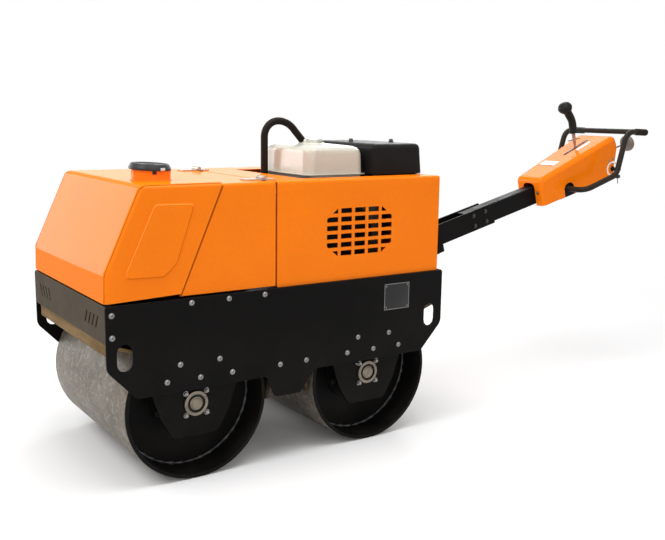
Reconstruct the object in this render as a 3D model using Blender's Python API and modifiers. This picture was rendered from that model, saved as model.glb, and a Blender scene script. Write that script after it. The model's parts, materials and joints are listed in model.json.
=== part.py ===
"""Walk-behind vibratory roller with two drums and a folding handle.

Metres, +Z up, +X forward, +Y to the machine's left. Lengths along X are laid out from the
point midway between the two drum axles, and the empty ROLLER shifts them all so that the
machine's own box stands centred on the origin.
"""
import math

import bmesh
import bpy
from mathutils import Matrix, Vector

# ---------------------------------------------------------------- driving dimensions
DRUM_RADIUS = 0.2125
DRUM_WIDTH = 0.600
DRUM_WALL = 0.011
DRUM_GAP = 0.162              # between the drums, room for the crossbeam and the boards
WHEELBASE = 2 * DRUM_RADIUS + DRUM_GAP
RECESS_DEPTH = 0.091
DISC_WALL = 0.012
DRUM_STEPS = 48
DRUM_FLAT = math.pi / DRUM_STEPS   # turns a flat of the faceted drum to the ground

SEAT_GAP = 0.0003          # left between faces that touch
RUN_GAP = 0.0055           # left between a moving piece and its fixed neighbour

SIDE_PLATE_WALL = 0.006
SIDE_RISE = 0.093          # side plate's top edge above the top of the drums
SKIRT_DROP = 0.163         # side plate's lower edge below the top of the drums
FRONT_OVERHANG = 0.049     # front drum's face to the side plates' front edge
REAR_OVERHANG = 0.060      # rear drum's face to their rear edge

COWL_HEIGHT = 0.302
COWL_WALL = 0.003
COWL_INSET = 0.008         # cowl's side in from the side plate's outer face
COWL_REAR_STEP = 0.017     # cowl's rear in from the side plates' rear edge
SEAM_X = 0.047             # where hood and rear cowl meet
NOSE_SEAM_TOP_BACK = 0.3377          # slanting seam behind the side plates' front edge, at its top
NOSE_SEAM_BOTTOM_BACK = 0.2066       # and at its foot
NOSE_BREAK_RISE = 0.080    # upright band of the nose
NOSE_TOP_BACK = 0.105      # how far the slope of the nose leans back
NOSE_PROUD = 0.004         # nose stands out from the hood behind it
NOSE_ROUND = 0.014         # radius of its shoulders

HANDLE_ANGLE = math.radians(14.25)
HANDLE_PIVOT_BACK = 0.100  # pivot behind the side plates' rear edge
HANDLE_PIVOT_RISE = 0.032  # pivot above the side plates' top edge
ARM_TUBE_WIDTH = 0.050
ARM_TUBE_HEIGHT = 0.069
ARM_TUBE_WALL = 0.004
ARM_TUBE_START = 0.270     # along the arm from the pivot
ARM_TUBE_END = 0.960
FORK_WALL = 0.006
FORK_HEIGHT = 0.076
FORK_END = 0.400
BOX_START = 0.6245         # control box, along the arm
BOX_LENGTH = 0.4135
BOX_FRONT_HALF = 0.066
BOX_REAR_HALF = 0.0935
BOX_FRONT_HEIGHT = 0.107
BOX_REAR_HEIGHT = 0.172
BOX_WALL = 0.003
BAR_RADIUS = 0.011
BAR_HALF_SPREAD = 0.157
GRIP_RADIUS = 0.0132
GRIP_END_WALL = 0.004

# ---------------------------------------------------------------- worked-out places
FRONT_AXLE_X = WHEELBASE / 2
REAR_AXLE_X = -WHEELBASE / 2
DRUM_TOP = 2 * DRUM_RADIUS
PLATE_INNER_Y = DRUM_WIDTH / 2 + RUN_GAP
PLATE_OUTER_Y = PLATE_INNER_Y + SIDE_PLATE_WALL
PLATE_FRONT_X = FRONT_AXLE_X + DRUM_RADIUS + FRONT_OVERHANG
PLATE_REAR_X = REAR_AXLE_X - DRUM_RADIUS - REAR_OVERHANG
PLATE_TOP_Z = DRUM_TOP + SIDE_RISE
SKIRT_Z = DRUM_TOP - SKIRT_DROP
COWL_Y = PLATE_OUTER_Y - COWL_INSET
COWL_BASE_Z = PLATE_TOP_Z + SEAT_GAP
COWL_TOP_Z = PLATE_TOP_Z + COWL_HEIGHT
COWL_REAR_X = PLATE_REAR_X + COWL_REAR_STEP
HOOD_BASE_Z = PLATE_TOP_Z + RUN_GAP
NOSE_Y = COWL_Y + NOSE_PROUD
DISC_Y = DRUM_WIDTH / 2 - RECESS_DEPTH
NOSE_TOP_X = PLATE_FRONT_X - NOSE_TOP_BACK
NOSE_SEAM_TOP_X = PLATE_FRONT_X - NOSE_SEAM_TOP_BACK
NOSE_SEAM_BOTTOM_X = PLATE_FRONT_X - NOSE_SEAM_BOTTOM_BACK
PIVOT = Vector((PLATE_REAR_X - HANDLE_PIVOT_BACK, 0, PLATE_TOP_Z + HANDLE_PIVOT_RISE))
HINGE_RADIUS = 0.006
HINGE_AXIS = Vector((SEAM_X, 0, COWL_TOP_Z + SEAT_GAP + HINGE_RADIUS))
BUTTON_REACH = 1.232       # end of the stop button, along the arm from the pivot
BUTTON_RISE = 0.052        # its height above the arm's middle line
BUTTON_STEM_RADIUS = 0.0035
REAR_END_X = PIVOT.x - BUTTON_REACH * math.cos(HANDLE_ANGLE) + BUTTON_RISE * math.sin(HANDLE_ANGLE)
ORIGIN_X = (PLATE_FRONT_X + REAR_END_X) / 2

PARTS = None
CUTTERS = None
MATERIALS = {}
ROLLER = None
HOOD = None
HANDLE = None

PALETTE = {
    # name: (base colour, roughness, metallic)
    "orange_paint": ((0.85, 0.27, 0.02), 0.35, 0.0),
    "black_paint": ((0.02, 0.02, 0.02), 0.45, 0.0),
    "grey_paint": ((0.12, 0.11, 0.10), 0.50, 0.0),
    "drum_steel": ((0.45, 0.43, 0.40), 0.55, 1.0),
    "bare_steel": ((0.60, 0.57, 0.53), 0.35, 1.0),
    "cream_paint": ((0.80, 0.76, 0.68), 0.35, 0.0),
    "black_plastic": ((0.03, 0.03, 0.03), 0.50, 0.0),
    "black_rubber": ((0.02, 0.02, 0.02), 0.75, 0.0),
    "tan_board": ((0.62, 0.45, 0.18), 0.70, 0.0),
    "grey_plastic": ((0.30, 0.28, 0.27), 0.45, 0.0),
    "engine_metal": ((0.25, 0.25, 0.26), 0.50, 0.8),
}


# ---------------------------------------------------------------- scene set-up
def start_scene():
    global PARTS, CUTTERS, ROLLER, HOOD, HANDLE
    for item in list(bpy.data.objects):
        bpy.data.objects.remove(item, do_unlink=True)
    PARTS = bpy.data.collections.new("vibratory_roller")
    CUTTERS = bpy.data.collections.new("cutters")
    bpy.context.scene.collection.children.link(PARTS)
    bpy.context.scene.collection.children.link(CUTTERS)
    for name, (colour, roughness, metallic) in PALETTE.items():
        material = bpy.data.materials.new(name)
        material.use_nodes = True
        shader = material.node_tree.nodes["Principled BSDF"]
        shader.inputs["Base Color"].default_value = (*colour, 1)
        shader.inputs["Roughness"].default_value = roughness
        shader.inputs["Metallic"].default_value = metallic
        MATERIALS[name] = material
    ROLLER = bpy.data.objects.new("roller", None)
    ROLLER.location = (-ORIGIN_X, 0, 0)
    PARTS.objects.link(ROLLER)
    HOOD = pivot_empty("hood_axis", HINGE_AXIS)
    HANDLE = pivot_empty("handle_axis", PIVOT, (0, -HANDLE_ANGLE, math.pi))


def pivot_empty(name, place, turn=(0, 0, 0)):
    """An empty on a joint's axis, which carries that joint's pieces."""
    empty = bpy.data.objects.new(name, None)
    empty.location = place
    empty.rotation_euler = turn
    empty.parent = ROLLER
    PARTS.objects.link(empty)
    return empty


def face_out(bm):
    """Turn every face outward."""
    bmesh.ops.recalc_face_normals(bm, faces=bm.faces)
    if bm.calc_volume(signed=True) < 0:
        bmesh.ops.reverse_faces(bm, faces=bm.faces)


def attach(obj, parent):
    """Parent a piece. The hood's pieces are laid out in the roller's own coordinates."""
    obj.parent = parent or ROLLER
    if parent is HOOD:
        obj.matrix_parent_inverse = Matrix.Translation(-HINGE_AXIS)


def add_object(name, bm, material, parent=None, place=(0, 0, 0), turn=(0, 0, 0)):
    """A sub-part made from a bmesh; material None makes a cutter."""
    face_out(bm)
    mesh = bpy.data.meshes.new(name)
    bm.to_mesh(mesh)
    bm.free()
    obj = bpy.data.objects.new(name, mesh)
    obj.location = place
    obj.rotation_euler = turn
    attach(obj, parent)
    if material is None:
        CUTTERS.objects.link(obj)
        obj.hide_render = True
        obj.display_type = "WIRE"
    else:
        mesh.materials.append(MATERIALS[material])
        PARTS.objects.link(obj)
    return obj


def box_mesh(low, high, bevel=0.0, segments=2):
    bm = bmesh.new()
    bmesh.ops.create_cube(bm, size=1)
    size = [b - a for a, b in zip(low, high)]
    middle = [(a + b) / 2 for a, b in zip(low, high)]
    bmesh.ops.scale(bm, vec=size, verts=bm.verts)
    bmesh.ops.translate(bm, vec=middle, verts=bm.verts)
    if bevel:
        bmesh.ops.bevel(bm, geom=bm.edges[:], offset=bevel, segments=segments, profile=0.5,
                        affect="EDGES")
    return bm


def rod_mesh(start, end, radius, steps=20, radius_end=None):
    """A cylinder or a cone between two points."""
    start = Vector(start)
    end = Vector(end)
    bm = bmesh.new()
    bmesh.ops.create_cone(bm, cap_ends=True, segments=steps, radius1=radius,
                          radius2=radius if radius_end is None else radius_end,
                          depth=(end - start).length)
    turn = (end - start).to_track_quat("Z", "Y").to_matrix().to_4x4()
    bm.transform(Matrix.Translation((start + end) / 2) @ turn)
    return bm


def rounded(points, radii, steps=5):
    """An outline whose corners become arcs; radii has one value for each corner, 0 for sharp."""
    result = []
    count = len(points)
    for i, corner in enumerate(points):
        corner = Vector(corner)
        radius = radii[i] if isinstance(radii, (list, tuple)) else radii
        if not radius:
            result.append(tuple(corner))
            continue
        before = (Vector(points[i - 1]) - corner).normalized()
        after = (Vector(points[(i + 1) % count]) - corner).normalized()
        half = before.angle(after) / 2
        reach = radius / math.tan(half)
        centre = corner + (before + after).normalized() * radius / math.sin(half)
        first = corner + before * reach - centre
        last = corner + after * reach - centre
        sweep = first.angle_signed(last)
        for k in range(steps + 1):
            spoke = Matrix.Rotation(-sweep * k / steps, 2) @ first
            result.append(tuple(centre + spoke))
    return result


def circle(centre, radius, steps=20):
    return [(centre[0] + radius * math.cos(2 * math.pi * k / steps),
             centre[1] + radius * math.sin(2 * math.pi * k / steps)) for k in range(steps)]


def bore_radius(pin_radius, steps, gap=SEAT_GAP):
    """Corner radius of a faceted bore whose flats still clear a pin of this radius."""
    return (pin_radius + gap) / math.cos(math.pi / steps)


def obround(centre, width, height, steps=6):
    """A slot with round ends, upright when height is the larger."""
    radius = min(width, height) / 2
    reach = (max(width, height) / 2 - radius) or 0
    upright = height > width
    points = []
    for side in (0, 1):
        start = (0 if upright else -math.pi / 2) + side * math.pi
        along = reach if side == 0 else -reach
        for k in range(steps + 1):
            angle = start + math.pi * k / steps
            u = radius * math.cos(angle) + (0 if upright else along)
            v = radius * math.sin(angle) + (along if upright else 0)
            points.append((centre[0] + u, centre[1] + v))
    return points


FACING = {
    # outline's plane: turn of the curve that lies in it, axis of its thickness
    "XZ": Matrix.Rotation(math.pi / 2, 4, "X"),
    "YZ": Matrix.Rotation(math.pi / 2, 4, "Z") @ Matrix.Rotation(math.pi / 2, 4, "X"),
    "XY": Matrix.Identity(4),
}


def add_spline(curve, points, closed):
    spline = curve.splines.new("POLY")
    spline.points.add(len(points) - 1)
    for point, place in zip(spline.points, points):
        point.co = (*place, 1)
    spline.use_cyclic_u = closed


def mesh_of_curve(curve):
    """The curve's surface as a welded bmesh."""
    obj = bpy.data.objects.new("curve", curve)
    bpy.context.scene.collection.objects.link(obj)
    graph = bpy.context.evaluated_depsgraph_get()
    mesh = bpy.data.meshes.new_from_object(obj.evaluated_get(graph))
    bm = bmesh.new()
    bm.from_mesh(mesh)
    bmesh.ops.remove_doubles(bm, verts=bm.verts, dist=0.00001)
    bpy.data.objects.remove(obj, do_unlink=True)
    bpy.data.curves.remove(curve)
    bpy.data.meshes.remove(mesh)
    return bm


def plate_mesh(loops, plane, low, high):
    """A flat sheet between two offsets; the first loop is its outline, the rest are holes."""
    curve = bpy.data.curves.new("outline", "CURVE")
    curve.dimensions = "2D"
    curve.fill_mode = "BOTH"
    curve.extrude = (high - low) / 2
    for loop in loops:
        add_spline(curve, [(u, v, 0) for u, v in loop], True)
    bm = mesh_of_curve(curve)
    middle = (low + high) / 2
    shift = {"XZ": (0, middle, 0), "YZ": (middle, 0, 0), "XY": (0, 0, middle)}[plane]
    bm.transform(Matrix.Translation(shift) @ FACING[plane])
    face_out(bm)
    return bm


def tube_mesh(points, radius, resolution=2):
    """A rod that follows a chain of points, with its ends filled."""
    curve = bpy.data.curves.new("tube", "CURVE")
    curve.dimensions = "3D"
    curve.bevel_depth = radius
    curve.bevel_resolution = resolution
    curve.use_fill_caps = True
    add_spline(curve, points, False)
    return mesh_of_curve(curve)


def bent_path(points, radii, steps=6):
    """A chain of straight runs in space whose corners are bent to the given radii."""
    points = [Vector(p) for p in points]
    result = [points[0]]
    for i in range(1, len(points) - 1):
        before = (points[i - 1] - points[i]).normalized()
        after = (points[i + 1] - points[i]).normalized()
        half = before.angle(after) / 2
        reach = radii[i - 1] / math.tan(half)
        inward = (before + after).normalized()
        centre = points[i] + inward * radii[i - 1] / math.sin(half)
        first = points[i] + before * reach - centre
        last = points[i] + after * reach - centre
        turn = first.rotation_difference(last)
        axis, sweep = turn.to_axis_angle()
        for k in range(steps + 1):
            result.append(centre + Matrix.Rotation(sweep * k / steps, 3, axis) @ first)
    result.append(points[-1])
    return result


def turned(name, profile, material, parent, place, steps, turn=(math.pi / 2, 0, 0)):
    """A solid of revolution; the profile lists (radius, height) from top to bottom."""
    bm = bmesh.new()
    verts = [bm.verts.new((radius, 0, height)) for radius, height in profile]
    for a, b in zip(verts, verts[1:]):
        bm.edges.new((a, b))
    if profile[0][0] > 0:
        bm.edges.new((verts[-1], verts[0]))
    mesh = bpy.data.meshes.new(name)
    bm.to_mesh(mesh)
    bm.free()
    obj = bpy.data.objects.new(name, mesh)
    obj.location = place
    obj.rotation_euler = turn
    attach(obj, parent)
    if material is None:
        CUTTERS.objects.link(obj)
        obj.hide_render = True
        obj.display_type = "WIRE"
    else:
        mesh.materials.append(MATERIALS[material])
        PARTS.objects.link(obj)
    screw = obj.modifiers.new("turn", "SCREW")
    screw.steps = steps
    screw.render_steps = steps
    screw.use_merge_vertices = True
    screw.merge_threshold = 0.00001
    return obj


def boolean(obj, other, operation):
    modifier = obj.modifiers.new(operation.lower(), "BOOLEAN")
    modifier.operation = operation
    modifier.solver = "EXACT"
    modifier.object = other
    return modifier


def cut(obj, bm, name="cutter"):
    boolean(obj, add_object(name, bm, None, obj.parent), "DIFFERENCE")


def join(obj, bm, name="joined"):
    boolean(obj, add_object(name, bm, None, obj.parent), "UNION")


# ---------------------------------------------------------------- frame
PLATE_CHAMFER_X = 0.080
PLATE_CHAMFER_Z = 0.085
TAB_TOP_HALF = 0.082       # tab that hangs between the drums
TAB_FRONT_X = 0.055
TAB_REAR_X = -0.030
TAB_DROP = 0.065
HAND_HOLE_WIDTH = 0.042
HAND_HOLE_HEIGHT = 0.074
HAND_HOLE_INSET = 0.050    # its centre in from the plate's end
HAND_HOLE_Z = DRUM_TOP - 0.048
PLATE_CORNERS = (
    # radii of the plate's corners, from its top front one round to its top rear one
    0.006, 0.035, 0.010, 0.010, 0.012, 0.012, 0.010, 0.010, 0.035, 0.006,
)
FLANGE_WIDTH = 0.028
FLANGE_END = 0.030         # flange's ends in from the plate's
CROSS_WALL = 0.005
LIP_DEPTH = 0.032          # lip of a cross plate, under which its scraper hangs
CROSS_HEIGHT = 0.100
VENT_WIDTH = 0.010
VENT_HEIGHT = 0.036
VENT_PITCH = 0.028
VENT_COUNT = 4
VENT_GROUP_Y = 0.205
VENT_SLANT = 0.010
DECK_WALL = 0.006
DECK_Z = DRUM_TOP + 0.0125
BEAM_HALF = 0.045
BEAM_WALL = 0.006
BEAM_DROP = 0.130
BOARD_WALL = 0.010
BOARD_RUN = 0.098
BOARD_FALL = 0.034
BOARD_INSET = 0.008        # board's outer edge in from the cross plate's face
BOARD_END_GAP = 0.012      # board's ends in from the drum's
BOARD_SEAT = 0.0005
BOARD_CLAMP = 0.040        # how far an inner board reaches up the crossbeam
BOARD_ELBOW = 0.010        # where it leaves the crossbeam, below its lower edge
BOARD_TIP_X = FRONT_AXLE_X - DRUM_RADIUS - RUN_GAP - BOARD_WALL
BOARD_TIP_Z = DRUM_RADIUS - 0.025


def side_plates():
    """Left and right outer plates with their skirts, centre tabs, hand holes and top flanges."""
    outline = [
        (PLATE_FRONT_X, PLATE_TOP_Z),
        (PLATE_FRONT_X, SKIRT_Z + PLATE_CHAMFER_Z),
        (PLATE_FRONT_X - PLATE_CHAMFER_X, SKIRT_Z),
        (TAB_TOP_HALF, SKIRT_Z),
        (TAB_FRONT_X, SKIRT_Z - TAB_DROP),
        (TAB_REAR_X, SKIRT_Z - TAB_DROP),
        (-TAB_TOP_HALF, SKIRT_Z),
        (PLATE_REAR_X + PLATE_CHAMFER_X, SKIRT_Z),
        (PLATE_REAR_X, SKIRT_Z + PLATE_CHAMFER_Z),
        (PLATE_REAR_X, PLATE_TOP_Z),
    ]
    holes = [obround((x, HAND_HOLE_Z), HAND_HOLE_WIDTH, HAND_HOLE_HEIGHT)
             for x in (PLATE_FRONT_X - HAND_HOLE_INSET, PLATE_REAR_X + HAND_HOLE_INSET)]
    for name, side in (("side_plate_left", 1), ("side_plate_right", -1)):
        low, high = sorted((side * PLATE_INNER_Y, side * PLATE_OUTER_Y))
        plate = add_object(name, plate_mesh([rounded(outline, PLATE_CORNERS)] + holes, "XZ",
                                            low, high), "black_paint")
        flange_low, flange_high = sorted((side * (PLATE_INNER_Y - FLANGE_WIDTH),
                                          side * (PLATE_INNER_Y + SIDE_PLATE_WALL / 2)))
        join(plate, box_mesh(
            (PLATE_REAR_X + FLANGE_END, flange_low, PLATE_TOP_Z - SIDE_PLATE_WALL),
            (PLATE_FRONT_X - FLANGE_END, flange_high, PLATE_TOP_Z)))


def vent_loops(middle_y, lean):
    loops = []
    z = PLATE_TOP_Z - CROSS_HEIGHT / 2
    for k in range(VENT_COUNT):
        y = middle_y + (k - (VENT_COUNT - 1) / 2) * VENT_PITCH
        corners = [(y - VENT_WIDTH / 2 - lean, z - VENT_HEIGHT / 2),
                   (y + VENT_WIDTH / 2 - lean, z - VENT_HEIGHT / 2),
                   (y + VENT_WIDTH / 2 + lean, z + VENT_HEIGHT / 2),
                   (y - VENT_WIDTH / 2 + lean, z + VENT_HEIGHT / 2)]
        loops.append(rounded(corners, 0.003, 2))
    return loops


def cross_plates():
    """Front and rear plates between the side plates, each with a lip that carries a scraper."""
    half = PLATE_INNER_Y - SEAT_GAP
    bottom = PLATE_TOP_Z - CROSS_HEIGHT
    fall = LIP_DEPTH * BOARD_FALL / BOARD_RUN
    rise = CROSS_WALL - fall * (CROSS_WALL / 2) / (LIP_DEPTH - CROSS_WALL / 2)
    section = [
        # in from the plate's outer face, height
        (0, PLATE_TOP_Z), (0, bottom), (CROSS_WALL / 2, bottom), (LIP_DEPTH, bottom - fall),
        (LIP_DEPTH, bottom - fall + CROSS_WALL), (CROSS_WALL, bottom + rise),
        (CROSS_WALL, PLATE_TOP_Z),
    ]
    ends = (
        # node, outer face, way out, has vents, paint
        ("front_cross_plate", PLATE_FRONT_X, 1, True, "grey_paint"),
        ("rear_cross_plate", PLATE_REAR_X, -1, False, "black_paint"),
    )
    for name, face, out, vented, paint in ends:
        outline = [(face - out * inward, height) for inward, height in section]
        plate = add_object(name, plate_mesh([outline], "XZ", -half, half), paint)
        if vented:
            for loop in (vent_loops(VENT_GROUP_Y, VENT_SLANT)
                         + vent_loops(-VENT_GROUP_Y, -VENT_SLANT)):
                cut(plate, plate_mesh([loop], "YZ", face - BEYOND / 2, face + BEYOND / 2), "vent")


def scraper_boards():
    """Tan boards that keep the drums clean: one under each cross plate, two between the drums."""
    half = DRUM_WIDTH / 2 - BOARD_END_GAP
    slope = BOARD_FALL / BOARD_RUN
    top = PLATE_TOP_Z - CROSS_HEIGHT - SEAT_GAP - BOARD_SEAT - BOARD_INSET * slope
    for name, face, out in (("front_scraper", PLATE_FRONT_X, 1),
                            ("rear_scraper", PLATE_REAR_X, -1)):
        start = face - out * BOARD_INSET
        finish = start - out * BOARD_RUN
        outline = [(start, top), (finish, top - BOARD_FALL),
                   (finish, top - BOARD_FALL - BOARD_WALL), (start, top - BOARD_WALL)]
        add_object(name, plate_mesh([outline], "XZ", -half, half), "tan_board")
    beam_low = DECK_Z - BEAM_DROP
    near = BEAM_HALF + SEAT_GAP
    for name, out in (("front_drum_inner_scraper", 1), ("rear_drum_inner_scraper", -1)):
        outline = [(out * near, beam_low + BOARD_CLAMP),
                   (out * (near + BOARD_WALL), beam_low + BOARD_CLAMP),
                   (out * (near + BOARD_WALL), beam_low),
                   (out * (BOARD_TIP_X + BOARD_WALL), BOARD_TIP_Z),
                   (out * BOARD_TIP_X, BOARD_TIP_Z), (out * near, beam_low - BOARD_ELBOW)]
        add_object(name, plate_mesh([outline], "XZ", -half, half), "tan_board")


def deck_and_beam():
    """Floor under engine and tank, and the channel that ties the side plates between the drums."""
    half = PLATE_INNER_Y - SEAT_GAP
    add_object("deck", box_mesh(
        (PLATE_REAR_X + CROSS_WALL + SEAT_GAP, -half, DECK_Z),
        (PLATE_FRONT_X - CROSS_WALL - SEAT_GAP, half, DECK_Z + DECK_WALL)), "black_paint")
    top = DECK_Z - SEAT_GAP
    low = DECK_Z - BEAM_DROP
    web = BEAM_HALF - BEAM_WALL
    outline = [(-BEAM_HALF, top), (-BEAM_HALF, low), (-web, low), (-web, top - BEAM_WALL),
               (web, top - BEAM_WALL), (web, low), (BEAM_HALF, low), (BEAM_HALF, top)]
    add_object("centre_crossbeam", plate_mesh([outline], "XZ", -half, half), "black_paint")


# ---------------------------------------------------------------- drums and their carriers
AXLE_RADIUS = 0.025
FLANGE_RADIUS = 0.108      # bolted flange in the middle of an end disc
FLANGE_RISE = 0.008
RIM_CHAMFER = 0.002
CAVITY_RADIUS = 0.055      # core left round the axle inside the drum
CAVITY_GAP = 0.0004        # keeps the cavity's wall off the recess's
DRAIN_RADIUS = 0.011
DRAIN_PLACE = 0.158        # drain hole's distance from the axle
CARRIER_WALL = 0.010
CARRIER_TABLE = (
    # along X and up from the hub's centre, corner radius
    (-0.128, 0.150, 0.010), (-0.128, 0.040, 0.020), (-0.104, -0.030, 0.020),
    (-0.068, -0.094, 0.022), (0.068, -0.094, 0.022), (0.104, -0.030, 0.020),
    (0.128, 0.040, 0.020), (0.128, 0.150, 0.010),
)
CARRIER_GAP = 0.0225       # between carrier and side plate, filled by the rubber mounts
MOUNT_RADIUS = 0.019
MOUNT_TABLE = (
    # along X and up from the hub's centre
    (-0.059, 0.125), (0.059, 0.125), (0.0, 0.081), (-0.098, 0.081), (0.098, 0.081),
)
BEARING_STEPS = 20
HUB_BORE = bore_radius(AXLE_RADIUS, BEARING_STEPS)
HUB_RING_RADIUS = 0.036
HUB_FACE_Y = PLATE_INNER_Y - 0.0155
CARRIER_OUTER_Y = PLATE_INNER_Y - CARRIER_GAP
CARRIER_INNER_Y = CARRIER_OUTER_Y - CARRIER_WALL
HOUSING_RADIUS = 0.052
HOUSING_DEPTH = 0.040
AXLE_OVERLAP = 0.030       # how far the axle reaches into its housing
RING_STEP = 0.001
CAP_EDGE = 0.014           # raised cap in the middle of the hub's ring
GROOVE_INNER = 0.016
GROOVE_OUTER = 0.023
GROOVE_DEPTH = 0.002
HOUSING_FLANGE = 0.060
HOUSING_FLANGE_WALL = 0.010
HOUSING_FLOOR = 0.006      # closed outer end of the housing's bore


def drum(name, axle_x):
    """A drum shell with two deep-set end discs, their bolted flanges and the turning axle."""
    spin = pivot_empty(name + "_axis", (axle_x, 0, DRUM_RADIUS))
    half = DRUM_WIDTH / 2
    outer = DRUM_RADIUS / math.cos(DRUM_FLAT)
    inner = outer - DRUM_WALL
    flange_y = DISC_Y + FLANGE_RISE
    axle_end = CARRIER_INNER_Y - HOUSING_DEPTH + AXLE_OVERLAP
    side = [(0, axle_end), (AXLE_RADIUS, axle_end), (AXLE_RADIUS, flange_y),
            (FLANGE_RADIUS, flange_y), (FLANGE_RADIUS, DISC_Y), (inner, DISC_Y),
            (inner, half - RIM_CHAMFER), (inner + RIM_CHAMFER, half),
            (outer - RIM_CHAMFER, half), (outer, half - RIM_CHAMFER)]
    profile = side + [(radius, -y) for radius, y in reversed(side)]
    upright = (math.pi / 2, DRUM_FLAT, 0)
    body = turned(name, profile, "drum_steel", spin, (0, 0, 0), DRUM_STEPS, upright)
    hollow = DISC_Y - DISC_WALL
    wall = inner - CAVITY_GAP
    cavity = turned(name + "_hollow", [(wall, hollow), (wall, -hollow), (CAVITY_RADIUS, -hollow),
                                       (CAVITY_RADIUS, hollow)],
                    None, spin, (0, 0, 0), DRUM_STEPS, upright)
    drain = add_object(name + "_drain",
                       rod_mesh((0, 0, DRAIN_PLACE), (0, DRUM_WIDTH, DRAIN_PLACE), DRAIN_RADIUS,
                                12), None, spin)
    boolean(cavity, drain, "UNION")
    boolean(body, cavity, "DIFFERENCE")
    return spin


def carriers():
    """Plates hung from the side plates on rubber mounts, with the drum bearings."""
    outline = rounded([(x, z) for x, z, _ in CARRIER_TABLE],
                      [radius for _, _, radius in CARRIER_TABLE], 3)
    for end, axle_x in (("front", FRONT_AXLE_X), ("rear", REAR_AXLE_X)):
        for side_name, side in (("left", 1), ("right", -1)):
            name = end + "_" + side_name
            place = (axle_x, 0, DRUM_RADIUS)
            low, high = sorted((side * CARRIER_INNER_Y, side * CARRIER_OUTER_Y))
            bore = circle((0, 0), bore_radius(HUB_RING_RADIUS, BEARING_STEPS), BEARING_STEPS)
            mesh = plate_mesh([outline, bore], "XZ", low, high)
            carrier = add_object(name + "_carrier", mesh, "black_paint", place=place)
            for along, up in MOUNT_TABLE:
                start = (along, side * (CARRIER_OUTER_Y - CARRIER_WALL / 2), up)
                finish = (along, side * (PLATE_INNER_Y - SEAT_GAP), up)
                mount = add_object(name + "_mount", rod_mesh(start, finish, MOUNT_RADIUS, 12),
                                   None, place=place)
                boolean(carrier, mount, "UNION")
            bearing(name + "_bearing", place, side)


def bearing(name, place, side):
    """A flanged bearing housing: cap and raised ring outside, flange and barrel inside."""
    face = HUB_FACE_Y
    back = CARRIER_INNER_Y - SEAT_GAP
    inner_end = back - HOUSING_DEPTH
    step = face - GROOVE_DEPTH
    profile = [(0, face + RING_STEP), (CAP_EDGE, face + RING_STEP), (GROOVE_INNER, step),
               (GROOVE_OUTER, step), (GROOVE_OUTER + RING_STEP, face),
               (HUB_RING_RADIUS - GROOVE_DEPTH, face), (HUB_RING_RADIUS, step),
               (HUB_RING_RADIUS, back), (HOUSING_FLANGE, back),
               (HOUSING_FLANGE, back - HOUSING_FLANGE_WALL),
               (HOUSING_RADIUS, back - HOUSING_FLANGE_WALL - GROOVE_DEPTH),
               (HOUSING_RADIUS, inner_end), (HUB_BORE, inner_end),
               (HUB_BORE, back - HOUSING_FLOOR), (0, back - HOUSING_FLOOR)]
    turn = (-math.pi / 2, 0, 0) if side > 0 else (math.pi / 2, 0, 0)
    turned(name, profile, "bare_steel", None, place, BEARING_STEPS, turn)


# ---------------------------------------------------------------- hood, cowl and filler
NOSE_BREAK_LEAN = 0.002    # how far the upright band leans back
NOSE_LAP = 0.020           # nose's blank carries on behind its seam, before it is trimmed
NOSE_FOOT_RISE = 0.036     # rise of the nose's lower edge for each metre rearward
NOSE_FOOT_DIP = 0.0004     # how far below the front corner that edge's line starts
PANEL_LAP = 0.030          # hood panel's blank ahead of the slanting seam
EMBOSS_DEPTH = 0.0025
EMBOSS_TABLE = (
    # behind the side plates' front edge, above the hood's lower edge, corner radius
    (0.1430, 0.2520, 0.012), (0.2560, 0.2500, 0.006), (0.2010, 0.0900, 0.020),
    (0.1640, 0.0570, 0.020), (0.0590, 0.0600, 0.006), (0.0590, 0.0760, 0.012),
)
EDGE_ROUND = 0.008         # long top edges of the hood panel and the cowl
BEYOND = 0.100             # how far a cutter reaches past what it cuts
GRILLE_X = COWL_REAR_X + 0.306
GRILLE_Z_RISE = 0.146      # grille's centre above the side plate's top edge
GRILLE_COLUMNS = 5
GRILLE_ROWS = 6
GRILLE_PITCH_X = 0.0496
GRILLE_PITCH_Z = 0.0253
GRILLE_SLOT_X = 0.0393
GRILLE_SLOT_Z = 0.0150
GRILLE_CORNER_X = 0.0380   # how far the octagon's corners are cut along X
GRILLE_CORNER_Z = 0.0300   # and upward
# low x, high x, low y, high y
ENGINE_OPENING = (COWL_REAR_X + 0.0075, SEAM_X - 0.132, -0.200, 0.228)
FILLER_X = PLATE_FRONT_X - 0.196
FILLER_Y = 0.157
FILLER_STEPS = 28
NECK_RADIUS = 0.052
NECK_HEIGHT = 0.0325
NECK_WALL = 0.003
NECK_HOLE_DEPTH = 0.050    # how deep the cutter for the neck's hole goes
CAP_RADIUS = 0.0570
CAP_TOP_RADIUS = 0.0505
CAP_HEIGHT = 0.0115
CAP_DISH = 0.002           # sunk middle of the cap's top
CAP_RIM = 0.006            # rim left round the dish
CAP_SKIRT = 0.003
CAP_GAP = 0.0015           # between skirt and neck
LATCH_DROP = 0.011         # latch of the cap, below the skirt
LATCH_START = math.radians(70)
LATCH_SWEEP = math.radians(72)
LATCH_STEPS = 6


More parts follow.
